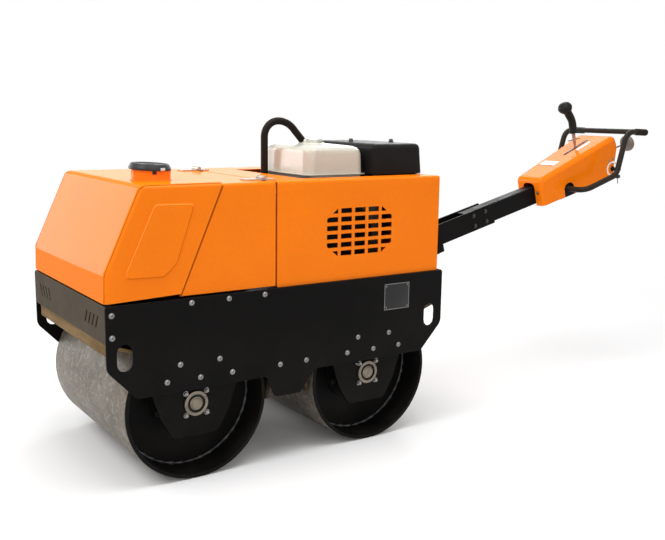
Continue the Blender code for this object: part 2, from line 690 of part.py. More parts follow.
def hood_nose():
    """Front shell: a sloped, round-shouldered box, open below and behind."""
    top = COWL_TOP_Z + NOSE_PROUD
    outer = nose_block("hood_nose", PLATE_FRONT_X, NOSE_TOP_X, NOSE_Y, top, HOOD_BASE_Z,
                       NOSE_ROUND, "orange_paint")
    inner = nose_block("nose_hollow", PLATE_FRONT_X - COWL_WALL, NOSE_TOP_X - COWL_WALL * 0.4,
                       NOSE_Y - COWL_WALL, top - COWL_WALL, HOOD_BASE_Z - BEYOND,
                       NOSE_ROUND - COWL_WALL, None)
    boolean(outer, inner, "DIFFERENCE")
    cut_behind_seam(outer)
    raise_foot(outer)
    emboss(outer)
    cut(outer, rod_mesh((FILLER_X, FILLER_Y, COWL_TOP_Z - NECK_HOLE_DEPTH),
                        (FILLER_X, FILLER_Y, COWL_TOP_Z + BEYOND), NECK_RADIUS - NECK_WALL,
                        FILLER_STEPS))
    return outer


def nose_block(name, front, top_x, half, top, base, bevel, material):
    """Upright band, slope and top in side view, as wide as the hood, with rounded shoulders."""
    break_z = PLATE_TOP_Z + NOSE_BREAK_RISE
    back = NOSE_SEAM_TOP_X - NOSE_LAP
    outline = [(front, base), (front - NOSE_BREAK_LEAN, break_z), (top_x, top), (back, top),
               (back, base)]
    bm = plate_mesh([outline], "XZ", -half, half)
    bevel_edges(bm, bevel, lambda a, b: is_shoulder(a, b, base, back))
    return add_object(name, bm, material, HOOD)


def is_shoulder(a, b, base, back):
    """Edges of the slope and the top that are rounded over; the open ends stay sharp."""
    low = a.z < base + SEAT_GAP and b.z < base + SEAT_GAP
    rear = a.x < back + SEAT_GAP and b.x < back + SEAT_GAP
    return not low and not rear


def bevel_edges(bm, width, wanted, segments=3):
    edges = [e for e in bm.edges
             if not is_flat(e) and wanted(e.verts[0].co, e.verts[1].co)]
    bmesh.ops.bevel(bm, geom=edges, offset=width, segments=segments, profile=0.5,
                    affect="EDGES", clamp_overlap=True)


def is_flat(edge):
    return len(edge.link_faces) == 2 and edge.calc_face_angle(0) < 0.02


def seam_cutter_points(offset):
    """The slanting seam's line, shifted rearward by offset: its top and base, well past the hood."""
    slope = (NOSE_SEAM_BOTTOM_X - NOSE_SEAM_TOP_X) / (COWL_TOP_Z - PLATE_TOP_Z)
    top_x = NOSE_SEAM_TOP_X - slope * BEYOND - offset
    base_x = NOSE_SEAM_BOTTOM_X + slope * 2 * BEYOND - offset
    return COWL_TOP_Z + BEYOND, PLATE_TOP_Z - 2 * BEYOND, top_x, base_x


def cut_behind_seam(obj):
    top, base, top_x, base_x = seam_cutter_points(0)
    outline = [(top_x, top), (PLATE_REAR_X, top), (PLATE_REAR_X, base), (base_x, base)]
    cut(obj, plate_mesh([outline], "XZ", -DRUM_WIDTH, DRUM_WIDTH), "behind_seam")


def raise_foot(obj):
    """Trim the nose's lower edge so that it rises rearward, and leaves a wedge of shadow."""
    front = PLATE_FRONT_X + BEYOND
    start = HOOD_BASE_Z - NOSE_FOOT_DIP - NOSE_FOOT_RISE * BEYOND
    finish = start + NOSE_FOOT_RISE * front
    outline = [(front, start), (0, finish), (0, start - BEYOND), (front, start - BEYOND)]
    cut(obj, plate_mesh([outline], "XZ", -DRUM_WIDTH, DRUM_WIDTH), "below_foot")


def emboss(obj):
    """The raised panel on each flank of the nose."""
    outline = [(PLATE_FRONT_X - back, HOOD_BASE_Z + rise) for back, rise, _ in EMBOSS_TABLE]
    outline = rounded(outline, [radius for _, _, radius in EMBOSS_TABLE], 3)
    for side in (1, -1):
        low, high = sorted((side * (NOSE_Y - COWL_WALL / 2), side * (NOSE_Y + EMBOSS_DEPTH)))
        join(obj, plate_mesh([outline], "XZ", low, high))


def hood_panel():
    """Middle of the hood, between the slanting seam and the rear cowl, open below."""
    front = NOSE_SEAM_BOTTOM_X + PANEL_LAP
    rear = SEAM_X + RUN_GAP / 2
    outer = add_object("hood_panel", round_box((rear, -COWL_Y, HOOD_BASE_Z),
                                               (front, COWL_Y, COWL_TOP_Z), EDGE_ROUND),
                       "orange_paint", HOOD)
    cut(outer, box_mesh((rear - BEYOND, -COWL_Y + COWL_WALL, HOOD_BASE_Z - BEYOND),
                        (front + BEYOND, COWL_Y - COWL_WALL, COWL_TOP_Z - COWL_WALL)))
    top, base, top_x, base_x = seam_cutter_points(SEAT_GAP)
    outline = [(top_x, top), (front + BEYOND, top), (front + BEYOND, base), (base_x, base)]
    cut(outer, plate_mesh([outline], "XZ", -DRUM_WIDTH, DRUM_WIDTH), "before_seam")
    return outer


def round_box(low, high, radius):
    """A box whose two long top edges, along X, are rounded."""
    (x0, y0, z0), (x1, y1, z1) = low, high
    outline = rounded([(y0, z0), (y1, z0), (y1, z1), (y0, z1)], [0, 0, radius, radius], 4)
    return plate_mesh([outline], "YZ", x0, x1)


def rear_cowl():
    """Fixed cowl over the engine, with a grille in each side and the engine opening on top."""
    front = SEAM_X - RUN_GAP / 2
    cowl = add_object("rear_cowl", round_box((COWL_REAR_X, -COWL_Y, COWL_BASE_Z),
                                             (front, COWL_Y, COWL_TOP_Z), EDGE_ROUND),
                      "orange_paint")
    cut(cowl, box_mesh((COWL_REAR_X + COWL_WALL, -COWL_Y + COWL_WALL, COWL_BASE_Z - BEYOND),
                       (front + BEYOND, COWL_Y - COWL_WALL, COWL_TOP_Z - COWL_WALL)))
    low_x, high_x, low_y, high_y = ENGINE_OPENING
    cut(cowl, box_mesh((low_x, low_y, COWL_TOP_Z - BEYOND / 2),
                       (high_x, high_y, COWL_TOP_Z + BEYOND / 2)))
    cut(cowl, grille_cutter())
    return cowl


def grille_cutter():
    """Rows of slots inside an octagon, through both flanks at once."""
    bm = bmesh.new()
    middle_z = PLATE_TOP_Z + GRILLE_Z_RISE
    for column in range(GRILLE_COLUMNS):
        for row in range(GRILLE_ROWS):
            x = (column - (GRILLE_COLUMNS - 1) / 2) * GRILLE_PITCH_X
            z = (row - (GRILLE_ROWS - 1) / 2) * GRILLE_PITCH_Z
            slot = [(GRILLE_X + a, middle_z + b) for a, b in clip_to_octagon(x, z)]
            piece = plate_mesh([slot], "XZ", -COWL_Y - BEYOND, COWL_Y + BEYOND)
            mesh = bpy.data.meshes.new("slot")
            piece.to_mesh(mesh)
            piece.free()
            bm.from_mesh(mesh)
            bpy.data.meshes.remove(mesh)
    return bm


def inside_octagon(x, z):
    """Above zero inside the grille's slanting corners, below zero beyond them."""
    half_x = (GRILLE_COLUMNS - 1) / 2 * GRILLE_PITCH_X + GRILLE_SLOT_X / 2
    half_z = (GRILLE_ROWS - 1) / 2 * GRILLE_PITCH_Z + GRILLE_SLOT_Z / 2
    return (half_x - abs(x)) / GRILLE_CORNER_X + (half_z - abs(z)) / GRILLE_CORNER_Z - 1


def clip_to_octagon(x, z):
    """A slot's corners, with the part beyond the octagon's slanting side taken off."""
    corners = [(x + a * GRILLE_SLOT_X / 2, z + b * GRILLE_SLOT_Z / 2)
               for a, b in ((-1, -1), (1, -1), (1, 1), (-1, 1))]
    result = []
    for start, finish in zip(corners, corners[1:] + corners[:1]):
        a = inside_octagon(*start)
        b = inside_octagon(*finish)
        if a > 0:
            result.append(start)
        if a * b < 0:
            t = a / (a - b)
            result.append((start[0] + t * (finish[0] - start[0]),
                           start[1] + t * (finish[1] - start[1])))
    return result


def filler():
    """Orange neck on the nose, and the black cap with its dished top and side latch."""
    base = COWL_TOP_Z + NOSE_PROUD + SEAT_GAP
    place = (FILLER_X, FILLER_Y, base)
    bore = NECK_RADIUS - NECK_WALL
    turned("filler_neck", [(NECK_RADIUS, NECK_HEIGHT), (NECK_RADIUS, 0), (bore, 0),
                           (bore, NECK_HEIGHT)],
           "orange_paint", HOOD, place, FILLER_STEPS, (0, 0, 0))
    lift = base + NECK_HEIGHT + SEAT_GAP
    clear = NECK_RADIUS + CAP_GAP
    cap = turned("filler_cap", [(0, CAP_HEIGHT - CAP_DISH),
                                (CAP_TOP_RADIUS - CAP_RIM, CAP_HEIGHT - CAP_DISH),
                                (CAP_TOP_RADIUS - CAP_RIM + CAP_DISH, CAP_HEIGHT),
                                (CAP_TOP_RADIUS, CAP_HEIGHT), (CAP_RADIUS, -CAP_SKIRT),
                                (clear, -CAP_SKIRT), (clear, 0), (0, 0)],
                 "black_plastic", HOOD, (FILLER_X, FILLER_Y, lift), FILLER_STEPS, (0, 0, 0))
    arc = [LATCH_START + LATCH_SWEEP * k / LATCH_STEPS for k in range(LATCH_STEPS + 1)]
    inner = clear + SEAT_GAP
    outer = CAP_RADIUS - SEAT_GAP
    loop = [(outer * math.cos(a), outer * math.sin(a)) for a in arc]
    loop += [(inner * math.cos(a), inner * math.sin(a)) for a in reversed(arc)]
    latch = plate_mesh([loop], "XY", -CAP_SKIRT - LATCH_DROP, -CAP_SKIRT / 2)
    latch.transform(Matrix.Translation((FILLER_X, FILLER_Y, lift)))
    join(cap, latch, "latch")


# ---------------------------------------------------------------- hinges of the hood
HINGE_Y = 0.215
HINGE_HALF = 0.022
LEAF_WALL = 0.003
LEAF_FRONT = 0.058         # leaf's front end ahead of the seam
LEAF_REAR = 0.001
FOOT_REAR = 0.034          # foot's rear end behind the seam
FOOT_FRONT = 0.008
KNUCKLE_REACH = 0.002      # foot's knuckles reach this close to the seam
KNUCKLE_GAP = 0.001
HINGE_PIN_RADIUS = 0.0025
HINGE_BORE_RADIUS = 0.0028
KNUCKLE_STEPS = 16
HINGE_PIN_STEPS = 12


def hood_hinges():
    """A leaf with its barrel on the hood, and a pinned foot on the rear cowl, on each side."""
    low_z = COWL_TOP_Z + SEAT_GAP
    high_z = low_z + LEAF_WALL
    z = HINGE_AXIS.z
    for name, side in (("left", 1), ("right", -1)):
        y = side * HINGE_Y
        leaf = add_object("hood_hinge_" + name,
                          box_mesh((SEAM_X + LEAF_REAR, y - HINGE_HALF, low_z),
                                   (SEAM_X + LEAF_FRONT, y + HINGE_HALF, high_z)),
                          "bare_steel", HOOD)
        join(leaf, rod_mesh((SEAM_X, y - HINGE_HALF / 2, z), (SEAM_X, y + HINGE_HALF / 2, z),
                            HINGE_RADIUS, KNUCKLE_STEPS))
        cut(leaf, rod_mesh((SEAM_X, y - BEYOND, z), (SEAM_X, y + BEYOND, z),
                           HINGE_BORE_RADIUS, HINGE_PIN_STEPS))
        for edge in (1, -1):
            low, high = sorted((edge * (HINGE_HALF / 2 + SEAT_GAP), edge * BEYOND))
            cut(leaf, box_mesh((SEAM_X - BEYOND, y + low, z - BEYOND),
                               (SEAM_X + HINGE_RADIUS + LEAF_REAR, y + high, z + BEYOND)))
        foot = add_object("hood_hinge_foot_" + name,
                          box_mesh((SEAM_X - FOOT_REAR, y - HINGE_HALF, low_z),
                                   (SEAM_X - FOOT_FRONT, y + HINGE_HALF, high_z)),
                          "bare_steel")
        for edge in (1, -1):
            low, high = sorted((edge * (HINGE_HALF / 2 + KNUCKLE_GAP), edge * HINGE_HALF))
            join(foot, rod_mesh((SEAM_X, y + low, z), (SEAM_X, y + high, z), HINGE_RADIUS,
                                KNUCKLE_STEPS))
            join(foot, box_mesh((SEAM_X - FOOT_FRONT - KNUCKLE_REACH, y + low, low_z),
                                (SEAM_X - KNUCKLE_REACH, y + high, high_z)))
        join(foot, rod_mesh((SEAM_X, y - HINGE_HALF, z), (SEAM_X, y + HINGE_HALF, z),
                            HINGE_PIN_RADIUS, HINGE_PIN_STEPS))


# ---------------------------------------------------------------- engine and tanks
# low x, high x, low y, high y
ENGINE_BOX = (COWL_REAR_X + 0.039, SEAM_X - 0.122, -0.170, 0.185)
ENGINE_TOP_Z = COWL_TOP_Z - 0.030
ENGINE_BEVEL = 0.010
TANK_BOX = (COWL_REAR_X + 0.204, SEAM_X - 0.164, -0.100, 0.200)
TANK_FLANGE_Z = COWL_TOP_Z + 0.0045                # underside of the seam flange
TANK_FLANGE_WALL = 0.002
TANK_CROWN_Z = COWL_TOP_Z + 0.095
TANK_SECTIONS = (
    # height, inset from the flange's edge, corner radius
    (ENGINE_TOP_Z + SEAT_GAP, 0.024, 0.022),
    (TANK_FLANGE_Z - 0.006, 0.009, 0.028),
    (TANK_FLANGE_Z, 0.008, 0.028),
    (TANK_FLANGE_Z, 0.0, 0.028),
    (TANK_FLANGE_Z + TANK_FLANGE_WALL, 0.0, 0.028),
    (TANK_FLANGE_Z + TANK_FLANGE_WALL, 0.008, 0.030),
    (TANK_CROWN_Z - 0.027, 0.0100, 0.031),
    (TANK_CROWN_Z - 0.016, 0.0130, 0.033),
    (TANK_CROWN_Z - 0.009, 0.0195, 0.034),
    (TANK_CROWN_Z - 0.005, 0.0300, 0.034),
    (TANK_CROWN_Z, 0.0800, 0.024),
)
TANK_CORNER_STEPS = 5
CLEANER_BOX = (COWL_REAR_X + 0.004, COWL_REAR_X + 0.199, -0.130, 0.222)
CLEANER_BASE_Z = COWL_TOP_Z + 0.003                # the case hangs just over the cowl
CLEANER_TOP_Z = COWL_TOP_Z + 0.098
CLEANER_BEVEL = 0.016
CLEANER_ROOT_INSET = 0.015 # its root through the cowl's opening, in from the case
CLEANER_TAPER = 0.010      # how far the rear face leans forward at the top
CLEANER_STUDS = ((COWL_REAR_X + 0.157, 0.034), (COWL_REAR_X + 0.043, 0.101))
STUD_RADIUS = 0.006
STUD_RISE = 0.0105
STUD_ROOT = 0.008          # stud's length inside the lid
FUEL_CAP_X = COWL_REAR_X + 0.314
FUEL_CAP_Y = 0.050
FUEL_CAP_RADIUS = 0.0305
FUEL_CAP_HEIGHT = 0.0145
FUEL_CAP_EDGE = 0.003
FUEL_CAP_STEPS = 24
TANK_NECK_RADIUS = 0.024
TANK_NECK_ROOT = 0.020     # neck's length below the crown
HOSE_RADIUS = 0.0085
HOSE_Y = -0.030
HOSE_ROUTE = (
    # along X, height, bend radius there
    (TANK_BOX[1] + 0.0150, ENGINE_TOP_Z + SEAT_GAP, None),
    (TANK_BOX[1] + 0.0150, TANK_CROWN_Z + 0.068, 0.048),
    (TANK_BOX[1] - 0.0645, TANK_CROWN_Z + 0.068, 0.075),
    (TANK_BOX[1] - 0.1260, TANK_CROWN_Z + 0.0065, None),
)
NIPPLE_RADIUS = 0.006
NIPPLE_LENGTH = 0.030
WATER_TANK_HALF = 0.245
WATER_TANK_TABLE = (
    # along X, height, corner radius
    (0.110, DECK_Z + DECK_WALL + SEAT_GAP, 0.012),
    (PLATE_FRONT_X - 0.050, DECK_Z + DECK_WALL + SEAT_GAP, 0.012),
    (PLATE_FRONT_X - 0.050, PLATE_TOP_Z + 0.067, 0.030),
    (PLATE_FRONT_X - 0.140, COWL_TOP_Z - 0.050, 0.030), (0.110, COWL_TOP_Z - 0.050, 0.030),
)


def engine():
    """The engine as one plain block on the deck, below its tank and air cleaner."""
    low_x, high_x, low_y, high_y = ENGINE_BOX
    add_object("engine_block", box_mesh((low_x, low_y, DECK_Z + DECK_WALL + SEAT_GAP),
                                        (high_x, high_y, ENGINE_TOP_Z), ENGINE_BEVEL),
               "engine_metal")


def fuel_tank():
    """A pressed tank: soft-topped shell over a flat seam flange and a shallow pan."""
    low_x, high_x, low_y, high_y = TANK_BOX
    middle = Vector(((low_x + high_x) / 2, (low_y + high_y) / 2))
    bm = bmesh.new()
    rings = []
    for height, inset, radius in TANK_SECTIONS:
        a = (high_x - low_x) / 2 - inset
        b = (high_y - low_y) / 2 - inset
        loop = rounded([(-a, -b), (a, -b), (a, b), (-a, b)], radius, TANK_CORNER_STEPS)
        rings.append([bm.verts.new((middle.x + u, middle.y + v, height)) for u, v in loop])
    for lower, upper in zip(rings, rings[1:]):
        count = len(lower)
        for i in range(count):
            j = (i + 1) % count
            bm.faces.new((lower[i], lower[j], upper[j], upper[i]))
    bm.faces.new(rings[0][::-1])
    bm.faces.new(rings[-1])
    tank = add_object("fuel_tank", bm, "cream_paint")
    join(tank, rod_mesh((FUEL_CAP_X, FUEL_CAP_Y, TANK_CROWN_Z - TANK_NECK_ROOT),
                        (FUEL_CAP_X, FUEL_CAP_Y, TANK_CROWN_Z + SEAT_GAP), TANK_NECK_RADIUS,
                        20), "tank_neck")
    hose_end, way = hose_tail()
    join(tank, rod_mesh(hose_end + way * SEAT_GAP, hose_end + way * NIPPLE_LENGTH,
                        NIPPLE_RADIUS, 12), "nipple")
    turned("fuel_cap", [(0, FUEL_CAP_HEIGHT), (FUEL_CAP_RADIUS - FUEL_CAP_EDGE, FUEL_CAP_HEIGHT),
                        (FUEL_CAP_RADIUS, FUEL_CAP_HEIGHT - FUEL_CAP_EDGE),
                        (FUEL_CAP_RADIUS, FUEL_CAP_EDGE), (FUEL_CAP_RADIUS - FUEL_CAP_EDGE, 0),
                        (0, 0)],
           "bare_steel", None, (FUEL_CAP_X, FUEL_CAP_Y, TANK_CROWN_Z + 2 * SEAT_GAP),
           FUEL_CAP_STEPS, (0, 0, 0))


def air_cleaner():
    """The black air cleaner case behind the fuel tank, with its lid's studs."""
    low_x, high_x, low_y, high_y = CLEANER_BOX
    base = CLEANER_BASE_Z
    bm = box_mesh((low_x, low_y, base), (high_x, high_y, CLEANER_TOP_Z))
    low = base + SEAT_GAP
    bevel_edges(bm, CLEANER_BEVEL, lambda a, b: not (a.z < low and b.z < low), 4)
    for vert in bm.verts:
        if vert.co.x < (low_x + high_x) / 2:
            vert.co.x += CLEANER_TAPER * (vert.co.z - base) / (CLEANER_TOP_Z - base)
    case = add_object("air_cleaner", bm, "black_plastic")
    inset = CLEANER_ROOT_INSET
    join(case, box_mesh((low_x + inset, low_y + inset, ENGINE_TOP_Z + SEAT_GAP),
                        (high_x - inset, high_y - inset, base + inset)), "cleaner_root")
    for x, y in CLEANER_STUDS:
        join(case, rod_mesh((x, y, CLEANER_TOP_Z - STUD_ROOT), (x, y, CLEANER_TOP_Z + STUD_RISE),
                            STUD_RADIUS, 12))


def hose_path():
    """The breather hose's centre line, from its foot on the engine to the tank's nipple."""
    corners = [(x, HOSE_Y, z) for x, z, _ in HOSE_ROUTE]
    return bent_path(corners, [radius for _, _, radius in HOSE_ROUTE[1:-1]], 7)


def hose_tail():
    """Where the hose ends, and the direction it points there."""
    path = hose_path()
    return path[-1], (path[-1] - path[-2]).normalized()


def breather_hose():
    """Hose that rises from the opening, arches over and drops on to the tank behind its cap."""
    add_object("breather_hose", tube_mesh(hose_path(), HOSE_RADIUS), "black_rubber")


def water_tank():
    """Sprinkler tank on the deck, below the filler."""
    outline = rounded([(x, z) for x, z, _ in WATER_TANK_TABLE],
                      [radius for _, _, radius in WATER_TANK_TABLE], 3)
    add_object("water_tank", plate_mesh([outline], "XZ", -WATER_TANK_HALF, WATER_TANK_HALF),
               "black_plastic")


# ---------------------------------------------------------------- handle
FORK_INNER = ARM_TUBE_WIDTH / 2 + SEAT_GAP
FORK_OUTER = FORK_INNER + FORK_WALL
FORK_NOSE = 0.036          # rounded end ahead of the pivot
FORK_NOSE_ROUND = 0.030
FORK_END_SLANT = 0.018
FORK_CORNER = 0.003
TIE_START = ARM_TUBE_START - 0.050   # block that ties the fork's plates ahead of the tube
TIE_END = ARM_TUBE_START - 0.010
TIE_HALF = 0.020
TIE_ROOT = 0.002           # how deep the block sits in each plate
BRACKET_HALF = FORK_INNER - RUN_GAP
BRACKET_BASE_HALF = 0.075
BRACKET_BASE_WALL = 0.010
BRACKET_BASE_TOP = PLATE_TOP_Z - 0.004
BRACKET_BASE_LOW = PLATE_TOP_Z - 0.092
CHEEK_WALL = 0.008
CHEEK_ROOT = 0.005         # cheeks start inside the base plate
CHEEK_TOP = PLATE_TOP_Z - 0.010
CHEEK_LOW = PLATE_TOP_Z - 0.088
CHEEK_HEAD = ((0.022, 0.012), (0.010, 0.024), (-0.014, 0.020), (-0.024, -0.004))   # round the pin
PIN_RADIUS = 0.010
PIN_STEPS = 20
PIN_REACH = 0.008          # pin's ends beyond the fork
STOP_REACH = 0.122         # stop block, along the arm from the pivot
STOP_HEIGHT = 0.034
STOP_FRONT = 0.018
STOP_REAR = 0.014
STOP_TOP = 0.0157          # block's top above its own middle, just under the fork
STOP_LOW = 0.012
HANDLEBAR_CROSS = 0.7616   # where the bar passes through the tube, along the arm
BAR_CROSS_Z = -0.008
TUBE_END_LOW = 0.800       # lower end of the tube's slanting rear cut
TUBE_CORNER = 0.005


def handle_bracket():
    """Fixed bracket on the rear cross plate: base, two cheeks, pivot pin and stop block."""
    face = PLATE_REAR_X - SEAT_GAP
    base = add_object("handle_bracket",
                      box_mesh((face - BRACKET_BASE_WALL, -BRACKET_BASE_HALF, BRACKET_BASE_LOW),
                               (face, BRACKET_BASE_HALF, BRACKET_BASE_TOP), 0.002, 1),
                      "black_paint")
    along = Vector((-math.cos(HANDLE_ANGLE), math.sin(HANDLE_ANGLE)))
    up = Vector((math.sin(HANDLE_ANGLE), math.cos(HANDLE_ANGLE)))
    pivot = Vector((PIVOT.x, PIVOT.z))
    under = -FORK_HEIGHT / 2
    head = [tuple(pivot + Vector(shift)) for shift in CHEEK_HEAD]
    arm_side = [
        # along the arm from the stop block, down from the fork's lower edge
        (-0.030, 0.012), (-0.028, 0.010 + SEAT_GAP), (0.004, STOP_HEIGHT), (-0.040, 0.030),
    ]
    tail = [tuple(pivot + along * (STOP_REACH + a) + up * (under - b)) for a, b in arm_side]
    outline = ([(face - CHEEK_ROOT, CHEEK_TOP)] + head + tail + [(face - CHEEK_ROOT, CHEEK_LOW)])
    for side in (1, -1):
        low, high = sorted((side * (BRACKET_HALF - CHEEK_WALL), side * BRACKET_HALF))
        join(base, plate_mesh([outline], "XZ", low, high), "cheek")
    centre = pivot + along * STOP_REACH + up * (under - STOP_TOP - SEAT_GAP)
    block = box_mesh((-STOP_FRONT, -FORK_OUTER, -STOP_LOW), (STOP_REAR, FORK_OUTER, STOP_TOP),
                     0.0015, 1)
    block.transform(Matrix.Translation((centre.x, 0, centre.y))
                    @ Matrix.Rotation(HANDLE_ANGLE, 4, "Y"))
    join(base, block, "stop_block")
    pin_end = FORK_OUTER + PIN_REACH
    join(base, rod_mesh((PIVOT.x, -pin_end, PIVOT.z), (PIVOT.x, pin_end, PIVOT.z), PIN_RADIUS,
                        PIN_STEPS), "pivot_pin")
    return base


def handle_fork():
    """Two side plates that swing on the pivot pin, tied together ahead of the arm tube."""
    half = FORK_HEIGHT / 2
    outline = rounded([(-FORK_NOSE, -half), (FORK_END, -half), (FORK_END - FORK_END_SLANT, half),
                       (-FORK_NOSE, half)],
                      [FORK_NOSE_ROUND, FORK_CORNER, FORK_CORNER, FORK_NOSE_ROUND], 6)
    hole = circle((0, 0), bore_radius(PIN_RADIUS, PIN_STEPS), PIN_STEPS)
    fork = add_object("handle_fork",
                      plate_mesh([outline, hole], "XZ", FORK_INNER, FORK_OUTER),
                      "black_paint", HANDLE)
    join(fork, plate_mesh([outline, hole], "XZ", -FORK_OUTER, -FORK_INNER), "far_plate")
    reach = FORK_INNER + TIE_ROOT
    join(fork, box_mesh((TIE_START, -reach, -TIE_HALF), (TIE_END, reach, TIE_HALF)), "tie_block")
    return fork


def arm_tube():
    """Rectangular tube between the fork plates, slanted off inside the control box."""
    half_y = ARM_TUBE_WIDTH / 2
    half_z = ARM_TUBE_HEIGHT / 2
    outer = rounded([(-half_y, -half_z), (half_y, -half_z), (half_y, half_z), (-half_y, half_z)],
                    TUBE_CORNER, 2)
    inner_y = half_y - ARM_TUBE_WALL
    inner_z = half_z - ARM_TUBE_WALL
    inner = [(-inner_y, -inner_z), (inner_y, -inner_z), (inner_y, inner_z), (-inner_y, inner_z)]
    bm = plate_mesh([outer, inner], "YZ", ARM_TUBE_START, ARM_TUBE_END)
    lean = (ARM_TUBE_END - TUBE_END_LOW) / ARM_TUBE_HEIGHT
    for vert in bm.verts:
        if vert.co.x > TUBE_END_LOW:
            vert.co.x -= lean * (half_z - vert.co.z)
    tube = add_object("arm_tube", bm, "black_paint", HANDLE)
    cut(tube, rod_mesh((HANDLEBAR_CROSS, -BEYOND, BAR_CROSS_Z), (HANDLEBAR_CROSS, BEYOND, BAR_CROSS_Z),
                       bore_radius(BAR_RADIUS, BAR_STEPS), BAR_STEPS), "bar_hole")
    return tube


BOX_END = BOX_START + BOX_LENGTH
BOX_BOTTOM_FRONT = -0.0400
BOX_BOTTOM_REAR = -0.0268
BOX_REAR_STEP = 0.003      # top rear corner above the line of the top
BOX_TAIL = BOX_END - 0.028           # where the bottom ends
BOX_HIP = (BOX_END + 0.012, 0.084)   # rearmost corner of the box
BOX_ROUND = 0.017
ARCH_SIDE_GAP = 0.004      # round the arm tube where it enters the box
ARCH_TOP_GAP = 0.014
ARCH_ROUND = 0.018
NOTCH_SHIFT = 0.0044       # notch's middle behind the bar
NOTCH_HALF = 0.026
NOTCH_TOP = 0.015
NOTCH_ROUND = 0.024
LEVER_X = 0.907            # travel lever, along the arm
LEVER_Y = 0.003
LEVER_SLOT = (0.840, 0.977)
LEVER_SLOT_HALF = 0.0035
SHELF_TABLE = (0.650, 0.715)         # brackets between tube and box, start and end along the arm
SHELF_LOW = -0.006
SHELF_WALL = 0.005
BAR_STEPS = 16


def box_half(along):
    """The control box's half width at a distance along the arm."""
    share = (along - BOX_START) / BOX_LENGTH
    return BOX_FRONT_HALF + (BOX_REAR_HALF - BOX_FRONT_HALF) * share


def box_block(name, inset, material, extend):
    """The tapered, slope-topped block of the control box, drawn in by inset."""
    start = BOX_START + inset
    top_front = BOX_BOTTOM_FRONT + BOX_FRONT_HEIGHT - inset
    top_rear = BOX_BOTTOM_FRONT + BOX_REAR_HEIGHT + BOX_REAR_STEP - inset
    lean = (BOX_HIP[0] - BOX_TAIL) / (BOX_HIP[1] - BOX_BOTTOM_REAR)
    tail = BOX_TAIL - inset * math.hypot(1, lean) - extend * lean
    outline = [(start, BOX_BOTTOM_FRONT - extend), (tail, BOX_BOTTOM_REAR - extend),
               (BOX_HIP[0] - inset, BOX_HIP[1]), (BOX_END - inset, top_rear), (start, top_front)]
    bm = plate_mesh([outline], "XZ", -BOX_LENGTH, BOX_LENGTH)
    for vert in bm.verts:
        vert.co.y = math.copysign(box_half(vert.co.x) - inset, vert.co.y)
    low = BOX_BOTTOM_REAR - extend + SEAT_GAP
    bevel_edges(bm, BOX_ROUND - inset, lambda a, b: not (a.z < low and b.z < low), 4)
    return add_object(name, bm, material, HANDLE)


def control_box():
    """Sheet box over the arm's end, open below, with arches for the arm and the handlebar."""
    box = box_block("control_box", 0.0, "orange_paint", 0.0)
    hollow = box_block("box_hollow", BOX_WALL, None, 0.060)
    boolean(box, hollow, "DIFFERENCE")
    half = ARM_TUBE_WIDTH / 2 + ARCH_SIDE_GAP
    top = ARM_TUBE_HEIGHT / 2 + ARCH_TOP_GAP
    arch = rounded([(-half, -BEYOND), (half, -BEYOND), (half, top), (-half, top)],
                   [0, 0, ARCH_ROUND, ARCH_ROUND], 5)
    cut(box, plate_mesh([arch], "YZ", BOX_START - BEYOND / 2, BOX_START + BEYOND / 2), "arm_arch")
    middle = HANDLEBAR_CROSS + NOTCH_SHIFT
    notch = rounded([(middle - NOTCH_HALF, -BEYOND), (middle + NOTCH_HALF, -BEYOND),
                     (middle + NOTCH_HALF, NOTCH_TOP), (middle - NOTCH_HALF, NOTCH_TOP)],
                    [0, 0, NOTCH_ROUND, NOTCH_ROUND], 5)
    cut(box, plate_mesh([notch], "XZ", -2 * BEYOND, 2 * BEYOND), "bar_notches")
    cut(box, box_mesh((LEVER_SLOT[0], LEVER_Y - LEVER_SLOT_HALF, BEYOND / 2),
                      (LEVER_SLOT[1], LEVER_Y + LEVER_SLOT_HALF, 2 * BEYOND)), "lever_slot")
    cut(box, rod_mesh((BOX_END - BEYOND / 2, 0, BUTTON_RISE), (BOX_END + BEYOND / 2, 0, BUTTON_RISE),
                      bore_radius(BUTTON_STEM_RADIUS, BAR_STEPS), BAR_STEPS), "button_hole")
    near = ARM_TUBE_WIDTH / 2 + SEAT_GAP
    for side in (1, -1):
        shelf = [(x, side * near) for x in SHELF_TABLE]
        shelf += [(x, side * (box_half(x) - BOX_WALL / 2)) for x in reversed(SHELF_TABLE)]
        join(box, plate_mesh([shelf], "XY", SHELF_LOW, SHELF_LOW + SHELF_WALL), "shelf")
    return box


BAR_ROUTE = (
    # along the arm, across it, above it, bend radius there
    (HANDLEBAR_CROSS, BAR_HALF_SPREAD, BAR_CROSS_Z, 0.035),
    (0.945, BAR_HALF_SPREAD, 0.002, 0.045),
    (1.032, BAR_HALF_SPREAD, 0.1530, 0.050),
    (1.1415, BAR_HALF_SPREAD, 0.1213, None),
)
CROSS_BAR = (1.070, 0.1420)         # along the arm and above it
GRIP_LENGTH = 0.062
GRIP_STEPS = 16


def handlebar():
    """One bent tube each side, through the arm tube and round the box, with a cross bar."""
    side = [(x, y, z) for x, y, z, _ in BAR_ROUTE]
    bends = [radius for *_, radius in BAR_ROUTE[:-1]]
    mirrored = [(x, -y, z) for x, y, z in side[::-1]]
    path = bent_path(mirrored + side, bends[::-1] + bends, 5)
    bar = add_object("handlebar", tube_mesh(path, BAR_RADIUS), "black_paint", HANDLE)
    x, z = CROSS_BAR
    join(bar, rod_mesh((x, -BAR_HALF_SPREAD, z), (x, BAR_HALF_SPREAD, z), BAR_RADIUS - SEAT_GAP,
                       12), "cross_bar")
    return bar


